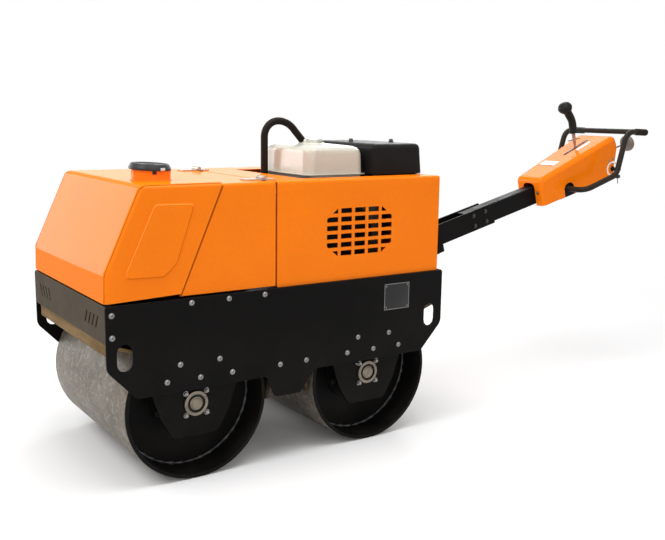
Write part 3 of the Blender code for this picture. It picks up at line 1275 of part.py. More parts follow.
def grips():
    """Rubber sleeves over the bar's ends."""
    root, tip = (Vector((x, 0, z)) for x, _, z, _ in BAR_ROUTE[-2:])
    way = (tip - root).normalized()
    for name, side in (("grip_left", -1), ("grip_right", 1)):
        shift = Vector((0, side * BAR_HALF_SPREAD, 0))
        start = tip - way * (GRIP_LENGTH - GRIP_END_WALL) + shift
        finish = tip + way * GRIP_END_WALL + shift
        grip = add_object(name, rod_mesh(start, finish, GRIP_RADIUS, GRIP_STEPS), "black_rubber",
                          HANDLE)
        cut(grip, rod_mesh(start - way * GRIP_LENGTH, tip + way * SEAT_GAP + shift,
                           bore_radius(BAR_RADIUS, GRIP_STEPS), GRIP_STEPS), "grip_bore")


LEVER_FOOT_HALF = 0.004
LEVER_WAIST_HALF = 0.0025  # where the lever passes the box's slot
LEVER_HEAD_HALF = 0.0090
LEVER_WAIST_Z = 0.128
LEVER_HEAD_Z = 0.1748      # end of the steel, where the moulded grip starts
LEVER_HALF_WALL = 0.002
LEVER_BEND = (0.9075, 0.225)         # grip's bend, along the arm and above it
LEVER_TIP = (0.880, 0.278)
LEVER_GRIP_RADIUS = 0.0135
KNOB_RADIUS = 0.026
KNOB_SQUASH = (1.15, 1.0, 0.85)
KNOB_PLACE = (0.874, 0.286)


def travel_lever():
    """Flat steel lever through the slot in the box, with a moulded knob-ended grip."""
    stations = (
        # above the arm, half width
        (ARM_TUBE_HEIGHT / 2 + SEAT_GAP, LEVER_FOOT_HALF), (LEVER_WAIST_Z, LEVER_WAIST_HALF),
        (LEVER_HEAD_Z, LEVER_HEAD_HALF),
    )
    outline = [(LEVER_X - half, z) for z, half in stations]
    outline += [(LEVER_X + half, z) for z, half in reversed(stations)]
    add_object("travel_lever", plate_mesh([outline], "XZ", LEVER_Y - LEVER_HALF_WALL,
                                          LEVER_Y + LEVER_HALF_WALL), "bare_steel", HANDLE)
    route = bent_path([(LEVER_X, LEVER_Y, LEVER_HEAD_Z + SEAT_GAP),
                       (LEVER_BEND[0], LEVER_Y, LEVER_BEND[1]),
                       (LEVER_TIP[0], LEVER_Y, LEVER_TIP[1])], [0.060], 5)
    grip = add_object("lever_grip", tube_mesh(route, LEVER_GRIP_RADIUS), "black_rubber", HANDLE)
    ball = bmesh.new()
    bmesh.ops.create_uvsphere(ball, u_segments=16, v_segments=10, radius=KNOB_RADIUS)
    bmesh.ops.scale(ball, vec=KNOB_SQUASH, verts=ball.verts)
    bmesh.ops.translate(ball, vec=(KNOB_PLACE[0], LEVER_Y, KNOB_PLACE[1]), verts=ball.verts)
    join(grip, ball, "knob")


BUTTON_TABLE = (
    # radius, in from the button's end
    (0, 0), (0.016, 0.001), (0.028, 0.006), (0.034, 0.012), (0.034, 0.019), (0.028, 0.025),
    (0.006, 0.027),
)
BUTTON_STEM_IN = 0.040     # stem's end inside the box


def stop_button():
    """Mushroom button on a thin stem behind the box, which the operator's body pushes."""
    profile = [(radius, BUTTON_REACH - inward) for radius, inward in BUTTON_TABLE]
    profile += [(BUTTON_STEM_RADIUS, BUTTON_REACH - BUTTON_TABLE[-1][1]),
                (BUTTON_STEM_RADIUS, BOX_END - BUTTON_STEM_IN), (0, BOX_END - BUTTON_STEM_IN)]
    turned("stop_button", profile, "grey_plastic", HANDLE, (0, 0, BUTTON_RISE), 24,
           (0, math.pi / 2, 0))


def main():
    start_scene()
    side_plates()
    cross_plates()
    scraper_boards()
    deck_and_beam()
    for name, axle_x in (("front_drum", FRONT_AXLE_X), ("rear_drum", REAR_AXLE_X)):
        drum(name, axle_x)
    carriers()
    hood_nose()
    hood_panel()
    rear_cowl()
    filler()
    hood_hinges()
    engine()
    fuel_tank()
    air_cleaner()
    breather_hose()
    water_tank()
    handle_bracket()
    handle_fork()
    arm_tube()
    control_box()
    handlebar()
    grips()
    travel_lever()
    stop_button()


main()
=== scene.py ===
"""Finish and small hardware of the walk-behind vibratory roller.

Metres, +Z up, +X towards the roller's nose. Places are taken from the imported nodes' boxes and
joints; lengths along X in the tables are laid out from the point midway between the axles.
Profiles that go through mm() are pairs of a radius and a height in millimetres.
"""
import json
import math

import bmesh
import bpy
from mathutils import Matrix, Vector


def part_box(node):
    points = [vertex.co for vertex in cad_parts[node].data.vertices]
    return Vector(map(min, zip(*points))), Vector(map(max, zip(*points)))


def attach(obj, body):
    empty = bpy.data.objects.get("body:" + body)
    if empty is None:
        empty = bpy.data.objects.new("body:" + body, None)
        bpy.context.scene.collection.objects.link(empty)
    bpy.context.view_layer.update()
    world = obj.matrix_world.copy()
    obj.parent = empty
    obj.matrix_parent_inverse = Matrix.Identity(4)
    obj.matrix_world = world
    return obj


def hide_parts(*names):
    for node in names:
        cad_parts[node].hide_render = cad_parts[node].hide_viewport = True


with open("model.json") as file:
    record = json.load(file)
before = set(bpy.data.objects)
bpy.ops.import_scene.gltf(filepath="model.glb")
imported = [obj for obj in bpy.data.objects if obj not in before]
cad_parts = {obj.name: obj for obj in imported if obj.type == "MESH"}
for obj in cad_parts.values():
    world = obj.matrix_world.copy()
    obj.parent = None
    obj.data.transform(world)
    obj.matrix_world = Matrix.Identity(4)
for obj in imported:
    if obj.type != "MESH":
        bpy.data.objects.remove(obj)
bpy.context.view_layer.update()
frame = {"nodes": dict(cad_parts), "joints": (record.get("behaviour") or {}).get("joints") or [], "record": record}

# ---------------------------------------------------------------- places on the machine
DRUM_RADIUS = 0.2125
DRUM_BOXES = {end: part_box(end + "_drum") for end in ("front", "rear")}
DRUM_HALF = DRUM_BOXES["front"][1].y
MIDDLE_X = sum(corner.x for box in DRUM_BOXES.values() for corner in box) / 4
AXLES = {end: Vector(((low.x + high.x) / 2, 0, DRUM_RADIUS)) for end, (low, high) in DRUM_BOXES.items()}
SIDES = {"left": 1, "right": -1}
PLATE_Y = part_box("side_plate_left")[1].y
COWL_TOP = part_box("rear_cowl")[1].z
JOINTS = {joint["name"]: Vector(joint["pos_m"]) for joint in frame["joints"]}
PIVOT = JOINTS["handle_hinge"]
HOOD_JOINT_X = JOINTS["hood_hinge"].x
HANDLE_ANGLE = math.radians(14.25)
ARM_ALONG = Vector((-math.cos(HANDLE_ANGLE), 0, math.sin(HANDLE_ANGLE)))
ARM_UP = Vector((math.sin(HANDLE_ANGLE), 0, math.cos(HANDLE_ANGLE)))
IN_PLACE = Matrix.Identity(4)
moved = Matrix.Translation


def settle(thing, **settings):
    """Sets several properties of a thing, and gives it back."""
    for key, value in settings.items():
        setattr(thing, key, value)
    return thing


def put(name, data):
    """An object in the scene that shows a mesh, a lamp or a camera."""
    made = bpy.data.objects.new(name, data)
    bpy.context.scene.collection.objects.link(made)
    return made


def at(x, y, z):
    """A place given from midway between the axles."""
    return Vector((MIDDLE_X + x, y, z))


def arm(along, across, above):
    """A place given along the handle's arm from its pivot, to the machine's left, and above."""
    return PIVOT + Vector((above * math.sin(HANDLE_ANGLE) - along * math.cos(HANDLE_ANGLE), across,
        along * math.sin(HANDLE_ANGLE) + above * math.cos(HANDLE_ANGLE)))


# ---------------------------------------------------------------- node helpers
class Nodes:
    """One node tree, with a short way to add each kind of node that the finishes use."""

    def __init__(self, tree):
        self.tree = tree

    def feed(self, sockets, values):
        """Gives each input a number, a colour or the socket that feeds it."""
        for key, value in values.items():
            if isinstance(value, bpy.types.NodeSocket):
                self.tree.links.new(value, sockets[key])
            else:
                sockets[key].default_value = value

    def source(self, kind):
        return self.tree.nodes.new("ShaderNode" + kind).outputs

    def add(self, kind, inputs, output=0, **settings):
        made = settle(self.tree.nodes.new("ShaderNode" + kind), **settings)
        self.feed(made.inputs, inputs)
        return made.outputs[output]

    def maths(self, operation, first, second, clamp=False):
        return self.add("Math", {0: first, 1: second}, operation=operation, use_clamp=clamp)

    def plus(self, first, second, clamp=False):
        return self.maths("ADD", first, second, clamp)

    def times(self, first, second, clamp=False):
        return self.maths("MULTIPLY", first, second, clamp)

    def mix(self, share, first, second):
        """Index 6 and 7 are the colour inputs of a Mix node, and output 2 its colour."""
        return self.add("Mix", {0: share, 6: first, 7: second}, 2, data_type="RGBA")

    def spread(self, value, low, high, to_low=0.0, to_high=1.0):
        return self.add("MapRange", {"Value": value, "From Min": low, "From Max": high, "To Min": to_low,
            "To Max": to_high})

    def noise(self, scale, detail=3.0, place=None):
        place = place or self.source("TexCoord")["Object"]
        return self.add("TexNoise", {"Vector": place, "Scale": scale, "Detail": detail})

    def bump(self, height, strength, distance, under=None):
        values = {"Height": height, "Strength": strength, "Distance": distance}
        if under:
            values["Normal"] = under
        return self.add("Bump", values)

    def use(self, group, **values):
        """Places a node group with its own values; Fine_Scale stands for Fine Scale."""
        node = self.tree.nodes.new("ShaderNodeGroup")
        node.node_tree = group
        self.feed(node.inputs, {key.replace("_", " "): value for key, value in values.items()})
        return node.outputs


def new_group(name, inputs, **outputs):
    """An empty node group with its named inputs, their usual values, and its outputs."""
    tree = bpy.data.node_groups.new(name, "ShaderNodeTree")
    for label, value in inputs.items():
        kind = "NodeSocketColor" if isinstance(value, tuple) else "NodeSocketFloat"
        socket = tree.interface.new_socket(label, in_out="INPUT", socket_type=kind)
        socket.default_value = value
    for label, kind in outputs.items():
        tree.interface.new_socket(label, in_out="OUTPUT", socket_type="NodeSocket" + kind)
    given = tree.nodes.new("NodeGroupInput").outputs
    return Nodes(tree), given, tree.nodes.new("NodeGroupOutput").inputs


def new_material(name, **constants):
    """A material whose Principled shader has its constants set on its own sockets."""
    material = bpy.data.materials.new(name)
    material.use_nodes = True
    sockets = material.node_tree.nodes["Principled BSDF"].inputs
    for key, value in constants.items():
        sockets[key.replace("_", " ")].default_value = value
    return material, Nodes(material.node_tree), sockets


# ---------------------------------------------------------------- camera, light and floor
CAMERA_PLACE = (1.3197, 2.4803, 1.0189)
CAMERA_TURN = (56.0652, 10.0773, 0.8095)     # heading, tilt down and roll, degrees
CAMERA_LENS = 48.667
SENSOR = 36.0
ROOM_LEVEL = 0.50          # light of the white room on the machine
LAMPS = {
    # place, the place it faces, width, power and, where it isn't round, its height
    "overhead_lamp": ((0.5, 0.6, 3.4), (0.2, 0, 0.4), 2.6, 66),
    "front_lamp": ((3.0, 0.4, 3.0), (0.6, 0, 0.5), 1.8, 44),
    "side_lamp": ((1.0, 3.6, 1.9), (0.1, 0, 0.5), 2.2, 15),
    "far_front_lamp": ((2.2, -3.25, 1.3), (1.1, 0, 0.7), 1.9, 38),
    "far_rear_lamp": ((-2.6, -2.7, 3.1), (-0.8, 0, 0.85), 1.7, 42),
    "far_low_lamp": ((-1.1, -3.0, 1.12), (0.3, 0, 0.82), 3.0, 14, 0.8),
}
FLOOR_RADIUS = 9.0
FLOOR_COLOUR = (0.93, 0.93, 0.93, 1)
FADE_START = 1.3           # from here outwards the floor turns into the white room
FADE_END = 3.2


def set_camera():
    heading, tilt, roll = (math.radians(a) for a in CAMERA_TURN)
    ahead = Vector((-math.cos(heading) * math.cos(tilt), -math.sin(heading) * math.cos(tilt),
        -math.sin(tilt)))
    right = ahead.cross(Vector((0, 0, 1))).normalized()
    up = right.cross(ahead)
    turned_right = right * math.cos(roll) + up * math.sin(roll)
    turned_up = up * math.cos(roll) - right * math.sin(roll)
    data = settle(bpy.data.cameras.new("camera"), lens=CAMERA_LENS, sensor_width=SENSOR)
    camera = put("camera", data)
    axes = Matrix((turned_right, turned_up, -ahead)).transposed().to_4x4()
    camera.matrix_world = moved(at(*CAMERA_PLACE)) @ axes
    bpy.context.scene.camera = camera


def add_lamp(name, place, aim, size, power, height=None):
    lamp = put(name, settle(bpy.data.lights.new(name, "AREA"), shape="ELLIPSE", size=size,
        size_y=height or size, energy=power))
    lamp.location = place
    lamp.rotation_euler = (Vector(aim) - Vector(place)).to_track_quat("-Z", "Y").to_euler()


def add_studio():
    """A white room with soft lamps overhead, in front, at the side and behind."""
    for name, values in LAMPS.items():
        add_lamp(name, *values)
    world = bpy.data.worlds.new("white_room")
    bpy.context.scene.world = world
    world.use_nodes = True
    nodes = Nodes(world.node_tree)
    rays = nodes.source("LightPath")
    seen = nodes.plus(rays["Is Camera Ray"], rays["Is Glossy Ray"])
    seen = nodes.plus(seen, rays["Is Transmission Ray"], True)
    level = nodes.add("MapRange", {"Value": seen, "To Min": ROOM_LEVEL})
    nodes.feed(world.node_tree.nodes["Background"].inputs, {"Strength": level, "Color": (1, 1, 1, 1)})


def add_floor():
    """A wide pale floor that keeps the machine's shadow and fades into the white room."""
    bm = bmesh.new()
    bmesh.ops.create_circle(bm, cap_ends=True, segments=64, radius=FLOOR_RADIUS)
    mesh = bpy.data.meshes.new("floor")
    bm.to_mesh(mesh)
    bm.free()
    material, nodes, _ = new_material("pale_floor", Base_Color=FLOOR_COLOUR, Roughness=0.9,
        Specular_IOR_Level=0.1)
    away = nodes.add("VectorMath", {0: nodes.source("TexCoord")["Object"]}, "Value", operation="LENGTH")
    fade = nodes.add("MapRange", {"Value": away, "From Min": FADE_START, "From Max": FADE_END},
        interpolation_type="SMOOTHSTEP")
    rays = nodes.source("LightPath")
    seen = nodes.plus(rays["Is Camera Ray"], rays["Is Glossy Ray"], True)
    shader = material.node_tree.nodes["Principled BSDF"].outputs[0]
    white = nodes.add("Emission", {"Strength": 1.0})
    blend = nodes.add("MixShader", {0: nodes.times(fade, seen), 1: shader, 2: white})
    nodes.feed(material.node_tree.nodes["Material Output"].inputs, {"Surface": blend})
    mesh.materials.append(material)
    floor = put("floor", mesh)


# ---------------------------------------------------------------- node groups
def mottle_group():
    """Slow and fine changes of a finish's colour."""
    nodes, given, out = new_group("mottle", {"Color": (0.5, 0.5, 0.5, 1), "Scale": 5.0,
        "Fine Scale": 90.0, "Depth": 0.1}, Color="Color")
    slow = nodes.noise(given["Scale"], 4.0)
    fine = nodes.noise(given["Fine Scale"], 2.0)
    both = nodes.plus(nodes.times(slow, 0.65), nodes.times(fine, 0.35))
    value = nodes.spread(both, 0.36, 0.64, nodes.maths("SUBTRACT", 1.0, given["Depth"]),
        nodes.plus(1.0, given["Depth"]))
    shifted = nodes.add("HueSaturation", {"Color": given["Color"], "Value": value})
    nodes.feed(out, {"Color": shifted})
    return nodes.tree


def grain_group():
    """Fine grain, as a height for bump and as a roughness between two levels."""
    nodes, given, out = new_group("grain", {"Scale": 300.0, "Low": 0.3, "High": 0.5}, Roughness="Float",
        Height="Float")
    fine = nodes.noise(given["Scale"], 3.0)
    patches = nodes.noise(nodes.times(given["Scale"], 0.05), 2.0)
    both = nodes.plus(nodes.times(fine, 0.5), nodes.times(patches, 0.5))
    rough = nodes.spread(both, 0.38, 0.62, given["Low"], given["High"])
    nodes.feed(out, {"Roughness": rough, "Height": fine})
    return nodes.tree


def wear_group():
    """Where a finish is rubbed thin along edges, broken up by noise."""
    nodes, given, out = new_group("edge_wear", {"Radius": 0.002, "Scale": 60.0, "Amount": 0.5},
        Mask="Float")
    rounded = nodes.add("Bevel", {"Radius": given["Radius"]}, samples=4)
    true_normal = nodes.source("NewGeometry")["Normal"]
    meet = nodes.add("VectorMath", {0: rounded, 1: true_normal}, "Value", operation="DOT_PRODUCT")
    edge = nodes.spread(meet, 0.99, 0.86)
    broken = nodes.spread(nodes.noise(given["Scale"], 5.0), 0.42, 0.62)
    nodes.feed(out, {"Mask": nodes.times(nodes.times(edge, broken), given["Amount"], True)})
    return nodes.tree


def dust_group():
    """Dust that settles on upward faces and near the ground."""
    nodes, given, out = new_group("settled_dust", {"Amount": 0.2, "Scale": 9.0}, Mask="Float")
    source = nodes.source("TexCoord")
    up = nodes.add("SeparateXYZ", {0: source["Normal"]}, "Z")
    height = nodes.add("SeparateXYZ", {0: source["Object"]}, "Z")
    low = nodes.spread(height, 0.45, 0.0, 0.0, 0.8)
    level = nodes.plus(nodes.spread(up, 0.3, 1.0, 0.0, 0.5), low)
    patches = nodes.spread(nodes.noise(given["Scale"], 6.0), 0.35, 0.75)
    nodes.feed(out, {"Mask": nodes.times(nodes.times(level, patches), given["Amount"], True)})
    return nodes.tree


def scratch_group():
    """Fine lines that run along X and round the drums: noise drawn out across Y."""
    nodes, given, out = new_group("scratches", {"Scale": 4.0, "Pitch": 90.0, "Amount": 0.5}, Mask="Float")
    across = nodes.add("CombineXYZ", {"X": given["Scale"], "Y": given["Pitch"], "Z": given["Scale"]})
    place = nodes.add("VectorMath", {0: nodes.source("TexCoord")["Object"], 1: across},
        operation="MULTIPLY")
    lines = nodes.spread(nodes.noise(1.0, 4.0, place), 0.55, 0.75)
    nodes.feed(out, {"Mask": nodes.times(lines, given["Amount"], True)})
    return nodes.tree


MOTTLE = mottle_group()
GRAIN = grain_group()
WEAR = wear_group()
DUST = dust_group()
SCRATCH = scratch_group()
DUST_COLOUR = (0.34, 0.3, 0.25, 1)
GRAIN_HEIGHT = 0.0004
PEEL_HEIGHT = 0.0006


# ---------------------------------------------------------------- finishes
def painted(name, colour, depth, rough, specular, coat, bare, worn, dusty, peel):
    """Sprayed paint: slight unevenness, orange peel, rubbed edges and a little dust."""
    material, nodes, sockets = new_material(name, Specular_IOR_Level=specular, Coat_Weight=coat,
        Coat_Roughness=0.12)
    base = nodes.use(MOTTLE, Color=(*colour, 1), Depth=depth, Scale=3.5, Fine_Scale=140.0)["Color"]
    base = nodes.mix(nodes.use(WEAR, Amount=worn)["Mask"], base, (*bare, 1))
    dust = nodes.use(DUST, Amount=dusty)["Mask"]
    grain = nodes.use(GRAIN, Scale=420.0, Low=rough[0], High=rough[1])
    nodes.feed(sockets, {"Base Color": nodes.mix(dust, base, DUST_COLOUR),
        "Roughness": nodes.plus(grain["Roughness"], nodes.times(dust, 0.5), True),
        "Normal": nodes.bump(grain["Height"], peel, PEEL_HEIGHT)})
    return material


def moulded(name, colour, rough, specular, scale, texture, dusty=0.04):
    """Plastic or rubber with the fine grain of its mould."""
    material, nodes, sockets = new_material(name, Specular_IOR_Level=specular)
    base = nodes.use(MOTTLE, Color=(*colour, 1), Depth=0.1, Scale=9.0, Fine_Scale=260.0)["Color"]
    dust = nodes.use(DUST, Amount=dusty)["Mask"]
    rubbed = nodes.use(WEAR, Amount=0.35, Radius=0.0015)["Mask"]
    paler = (*(part * 2.2 + 0.02 for part in colour), 1)
    base = nodes.mix(rubbed, base, paler)
    grain = nodes.use(GRAIN, Scale=scale, Low=rough[0], High=rough[1])
    nodes.feed(sockets, {"Base Color": nodes.mix(dust, base, DUST_COLOUR),
        "Roughness": grain["Roughness"], "Normal": nodes.bump(grain["Height"], texture, GRAIN_HEIGHT)})
    return material


def metal(name, colour, tarnish, rough, metallic=1.0, spots=0.35, scale=220.0, texture=0.12):
    """Bare or plated metal with darker stains and a fine drawn grain."""
    material, nodes, sockets = new_material(name, Metallic=metallic)
    base = nodes.use(MOTTLE, Color=(*colour, 1), Depth=0.14, Scale=24.0, Fine_Scale=400.0)["Color"]
    stain = nodes.spread(nodes.noise(38.0, 6.0), 0.52, 0.72, 0.0, spots)
    grain = nodes.use(GRAIN, Scale=scale, Low=rough[0], High=rough[1])
    nodes.feed(sockets, {"Base Color": nodes.mix(stain, base, (*tarnish, 1)),
        "Roughness": nodes.plus(grain["Roughness"], nodes.times(stain, 0.4), True),
        "Normal": nodes.bump(grain["Height"], texture, GRAIN_HEIGHT)})
    return material


def drum_skin():
    """Rolled steel of the drums: pale scale patches, darker pits and lines round the drum."""
    material, nodes, sockets = new_material("drum_steel", Metallic=0.35, Specular_IOR_Level=0.4)
    base = nodes.use(MOTTLE, Color=(0.15, 0.128, 0.1, 1), Depth=0.3, Scale=9.0, Fine_Scale=70.0)["Color"]
    pale = nodes.spread(nodes.noise(46.0, 7.0), 0.54, 0.7, 0.0, 0.55)
    cells = nodes.add("TexVoronoi", {"Vector": nodes.source("TexCoord")["Object"], "Scale": 70.0},
        "Distance")
    flecks = nodes.spread(cells, 0.3, 0.08, 0.0, 0.5)
    pits = nodes.spread(nodes.noise(33.0, 8.0), 0.4, 0.28, 0.0, 0.55)
    lines = nodes.use(SCRATCH, Amount=0.22, Scale=3.0, Pitch=120.0)["Mask"]
    for share, colour in ((pale, (0.32, 0.3, 0.265, 1)), (flecks, (0.42, 0.41, 0.38, 1)),
            (pits, (0.05, 0.038, 0.026, 1)), (lines, (0.25, 0.23, 0.2, 1))):
        base = nodes.mix(share, base, colour)
    grain = nodes.use(GRAIN, Scale=170.0, Low=0.42, High=0.62)
    dents = nodes.bump(nodes.noise(28.0, 5.0), 0.35, 0.0012)
    nodes.feed(sockets, {"Base Color": base, "Roughness": grain["Roughness"],
        "Normal": nodes.bump(grain["Height"], 0.35, 0.0006, dents)})
    return material


def board_face(name, colour, pale):
    """Pressed fibre board of the scrapers: long fibres, and grime near the drums."""
    material, nodes, sockets = new_material(name, Specular_IOR_Level=0.03)
    drawn = nodes.add("VectorMath", {0: nodes.source("TexCoord")["Object"], 1: (220.0, 12.0, 220.0)},
        operation="MULTIPLY")
    fibre = nodes.noise(1.0, 5.0, drawn)
    base = nodes.use(MOTTLE, Color=(*colour, 1), Depth=0.22, Scale=6.0, Fine_Scale=60.0)["Color"]
    base = nodes.mix(nodes.spread(fibre, 0.45, 0.7, 0.0, 0.45), base, (*pale, 1))
    grime = nodes.spread(nodes.noise(11.0, 6.0), 0.5, 0.7, 0.0, 0.6)
    nodes.feed(sockets, {"Base Color": nodes.mix(grime, base, (0.11, 0.075, 0.04, 1)),
        "Roughness": nodes.use(GRAIN, Scale=240.0, Low=0.55, High=0.8)["Roughness"],
        "Normal": nodes.bump(fibre, 0.4, 0.0008)})
    return material


PAINTS = {
    # colour, unevenness, roughness, shine, coat, colour where rubbed, wear, dust, orange peel
    "orange_paint": ((0.93, 0.2, 0.004), 0.04, (0.24, 0.36), 0.0, 0.21, (0.5, 0.24, 0.12), 0.3, 0.03, 0.1),
    "black_paint": ((0.0045, 0.004, 0.0038), 0.2, (0.34, 0.5), 0.06, 0.0, (0.075, 0.075, 0.078),
                    0.45, 0.03, 0.16),
    "grey_paint": ((0.074, 0.058, 0.04), 0.16, (0.32, 0.46), 0.01, 0.0, (0.22, 0.2, 0.17), 0.5, 0.08, 0.14),
    "cream_paint": ((0.575, 0.56, 0.475), 0.03, (0.2, 0.32), 0.2, 0.4, (0.55, 0.5, 0.43), 0.3, 0.05, 0.08),
    "label_film": ((0.86, 0.86, 0.84), 0.02, (0.3, 0.4), 0.5, 0.2, (0.6, 0.6, 0.58), 0.2, 0.02, 0.04),
    "bar_black": ((0.024, 0.019, 0.015), 0.14, (0.34, 0.48), 0.08, 0.0, (0.1, 0.09, 0.08), 0.5, 0.03, 0.12),
    "label_grey": ((0.17, 0.14, 0.1), 0.05, (0.4, 0.5), 0.3, 0.0, (0.4, 0.4, 0.38), 0.2, 0.02, 0.04),
    # painted shadow behind the nose's slanting seam and in the joint between hood and cowl
    "seam_shade": ((0.34, 0.062, 0.003), 0.05, (0.4, 0.55), 0.05, 0.0, (0.3, 0.07, 0.01), 0.2, 0.02, 0.05),
    # painted shade along the nose's folds and the raised panels' edges that face away from the light
    "fold_shade": ((0.66, 0.15, 0.006), 0.05, (0.4, 0.55), 0.0, 0.0, (0.5, 0.14, 0.02), 0.2, 0.02, 0.05),
    # painted highlight on the raised panels' edges that face the light
    "edge_orange": ((1.0, 0.34, 0.045), 0.03, (0.24, 0.36), 0.0, 0.21, (1.0, 0.45, 0.12), 0.2, 0.02, 0.1),
    "plate_black": ((0.012, 0.012, 0.012), 0.1, (0.3, 0.4), 0.3, 0.0, (0.2, 0.2, 0.2), 0.3, 0.03, 0.05),
}
MOULDINGS = {
    # colour, roughness, shine, fineness and depth of the grain, dust
    "black_plastic": ((0.0105, 0.0108, 0.01), (0.34, 0.48), 0.08, 900.0, 0.25),
    "cap_plastic": ((0.024, 0.025, 0.025), (0.34, 0.48), 0.2, 800.0, 0.2),
    "grip_plastic": ((0.014, 0.014, 0.013), (0.34, 0.5), 0.1, 700.0, 0.25),
    "tank_plastic": ((0.03, 0.03, 0.032), (0.42, 0.58), 0.4, 500.0, 0.3, 0.25),
    "grey_plastic": ((0.15, 0.13, 0.108), (0.38, 0.52), 0.45, 700.0, 0.25, 0.12),
    "black_rubber": ((0.013, 0.0092, 0.0066), (0.44, 0.6), 0.09, 600.0, 0.4),
    # black of the bearings' rubber seals; also painted shade in screw sockets, in a notch under the filler cap and
    # in the lever's slot
    "socket_black": ((0.012, 0.012, 0.012), (0.5, 0.7), 0.3, 600.0, 0.2, 0.12),
}
METALS = {
    # colour, stain, roughness, share of metal, stains, fineness and depth of the grain
    "bare_steel": ((0.215, 0.185, 0.145), (0.1, 0.08, 0.055), (0.3, 0.46), 1.0, 0.5),
    "plated_steel": ((0.25, 0.245, 0.238), (0.17, 0.16, 0.15), (0.24, 0.38)),
    "engine_metal": ((0.34, 0.34, 0.34), (0.1, 0.1, 0.1), (0.44, 0.6), 0.8, 0.35, 160.0, 0.35),
    "dark_steel": ((0.06, 0.058, 0.055), (0.02, 0.02, 0.02), (0.34, 0.5), 0.9),
    "cap_steel": ((0.62, 0.6, 0.55), (0.34, 0.31, 0.26), (0.3, 0.44), 0.7, 0.2),
    "hinge_steel": ((0.46, 0.42, 0.36), (0.25, 0.2, 0.15), (0.34, 0.48), 0.6),
    "worn_copper": ((0.4, 0.27, 0.19), (0.16, 0.1, 0.07), (0.34, 0.5), 0.7),
    "latch_steel": ((0.72, 0.72, 0.71), (0.4, 0.39, 0.37), (0.24, 0.36)),
    "weld_black": ((0.05, 0.05, 0.052), (0.015, 0.015, 0.015), (0.24, 0.42), 0.6, 0.35, 300.0, 0.5),
}
BOARDS = {
    # colour, colour of the fibres
    "tan_board": ((0.2, 0.125, 0.055), (0.31, 0.23, 0.13)),
    # a darker board for the scrapers between the drums
    "worn_board": ((0.05, 0.035, 0.018), (0.09, 0.07, 0.045)),
}
FINISHES = {"drum_steel": drum_skin()}
for kind, table in ((painted, PAINTS), (moulded, MOULDINGS), (metal, METALS), (board_face, BOARDS)):
    FINISHES |= {name: kind(name, *values) for name, values in table.items()}

# ---------------------------------------------------------------- mesh helpers
MERGE = 2e-5
FLATNESS = math.radians(0.4)


def make(name, shape, finish, body, nodes=(), crease=30, outward=True, round_to=0.0):
    """Turns a bmesh, or a list of shapes with the places of their copies, into a piece."""
    bm = stamp(bmesh.new(), *shape) if isinstance(shape, list) else shape
    if outward:
        bmesh.ops.recalc_face_normals(bm, faces=bm.faces)
    mesh = bpy.data.meshes.new(name)
    bm.to_mesh(mesh)
    bm.free()
    for face in mesh.polygons:
        face.use_smooth = True
    mesh.set_sharp_from_angle(angle=math.radians(crease))
    mesh.materials.append(FINISHES[finish])
    piece = put(name, mesh)
    if round_to:
        settle(piece.modifiers.new("rounded_edges", "BEVEL"), width=round_to, segments=2,
            limit_method="ANGLE", angle_limit=math.radians(crease), use_clamp_overlap=True)
        settle(piece.modifiers.new("flat_faces", "WEIGHTED_NORMAL"), weight=100, keep_sharp=True)
    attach(piece, body)
    if nodes:
        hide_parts(*nodes)


def stamp(bm, *parts):
    """Adds a copy of each shape at its place, or at each of its places, and frees the shape."""
    for shape, places in parts:
        template = bpy.data.meshes.new("shape")
        shape.to_mesh(template)
        shape.free()
        for place in places if isinstance(places, list) else [places]:
            placed = template.copy()
            placed.transform(place)
            bm.from_mesh(placed)
            bpy.data.meshes.remove(placed)
        bpy.data.meshes.remove(template)
    return bm


def merged(node):
    """A copy of a CAD node's mesh with its loose triangles joined and its flat faces whole."""
    bm = bmesh.new()
    bm.from_mesh(frame["nodes"][node].data)
    bmesh.ops.remove_doubles(bm, verts=bm.verts, dist=MERGE)
    bmesh.ops.dissolve_limit(bm, angle_limit=FLATNESS, verts=bm.verts, edges=bm.edges)
    return bm


def mm(*points):
    return [(radius / 1000, height / 1000) for radius, height in points]


def turned(profile, steps, ring=False):
    """A solid spun about Z from (radius, height) points; a ring's profile closes on itself."""
    bm = bmesh.new()
    verts = [bm.verts.new((radius, 0, height)) for radius, height in profile]
    edges = [bm.edges.new(pair) for pair in zip(verts, verts[1:])]
    if ring:
        edges.append(bm.edges.new((verts[-1], verts[0])))
    bmesh.ops.spin(bm, geom=verts + edges, cent=(0, 0, 0), axis=(0, 0, 1), angle=math.tau, steps=steps,
        use_merge=True)
    bmesh.ops.remove_doubles(bm, verts=bm.verts, dist=MERGE)
    bmesh.ops.recalc_face_normals(bm, faces=bm.faces)
    return bm


def facing(place, way, turn=0.0):
    """Carries a shape that stands on Z to a place, so that it faces a way."""
    return (moved(place) @ Vector(way).to_track_quat("Z", "Y").to_matrix().to_4x4() @
        Matrix.Rotation(turn, 4, "Z"))


def lying(place, way, along):
    """Carries a shape whose length is on X to a place, its length along a direction."""
    up = Vector(way).normalized()
    run = (Vector(along) - up * Vector(along).dot(up)).normalized()
    return moved(place) @ Matrix((run, up.cross(run), up)).transposed().to_4x4()


def block(size, rounding, segments=2):
    """A box on the origin with rounded edges."""
    bm = bmesh.new()
    bmesh.ops.create_cube(bm, size=1)
    bmesh.ops.scale(bm, vec=size, verts=bm.verts)
    bmesh.ops.bevel(bm, geom=bm.edges[:], offset=rounding, segments=segments, profile=0.5, affect="EDGES",
        material=-1)
    return bm


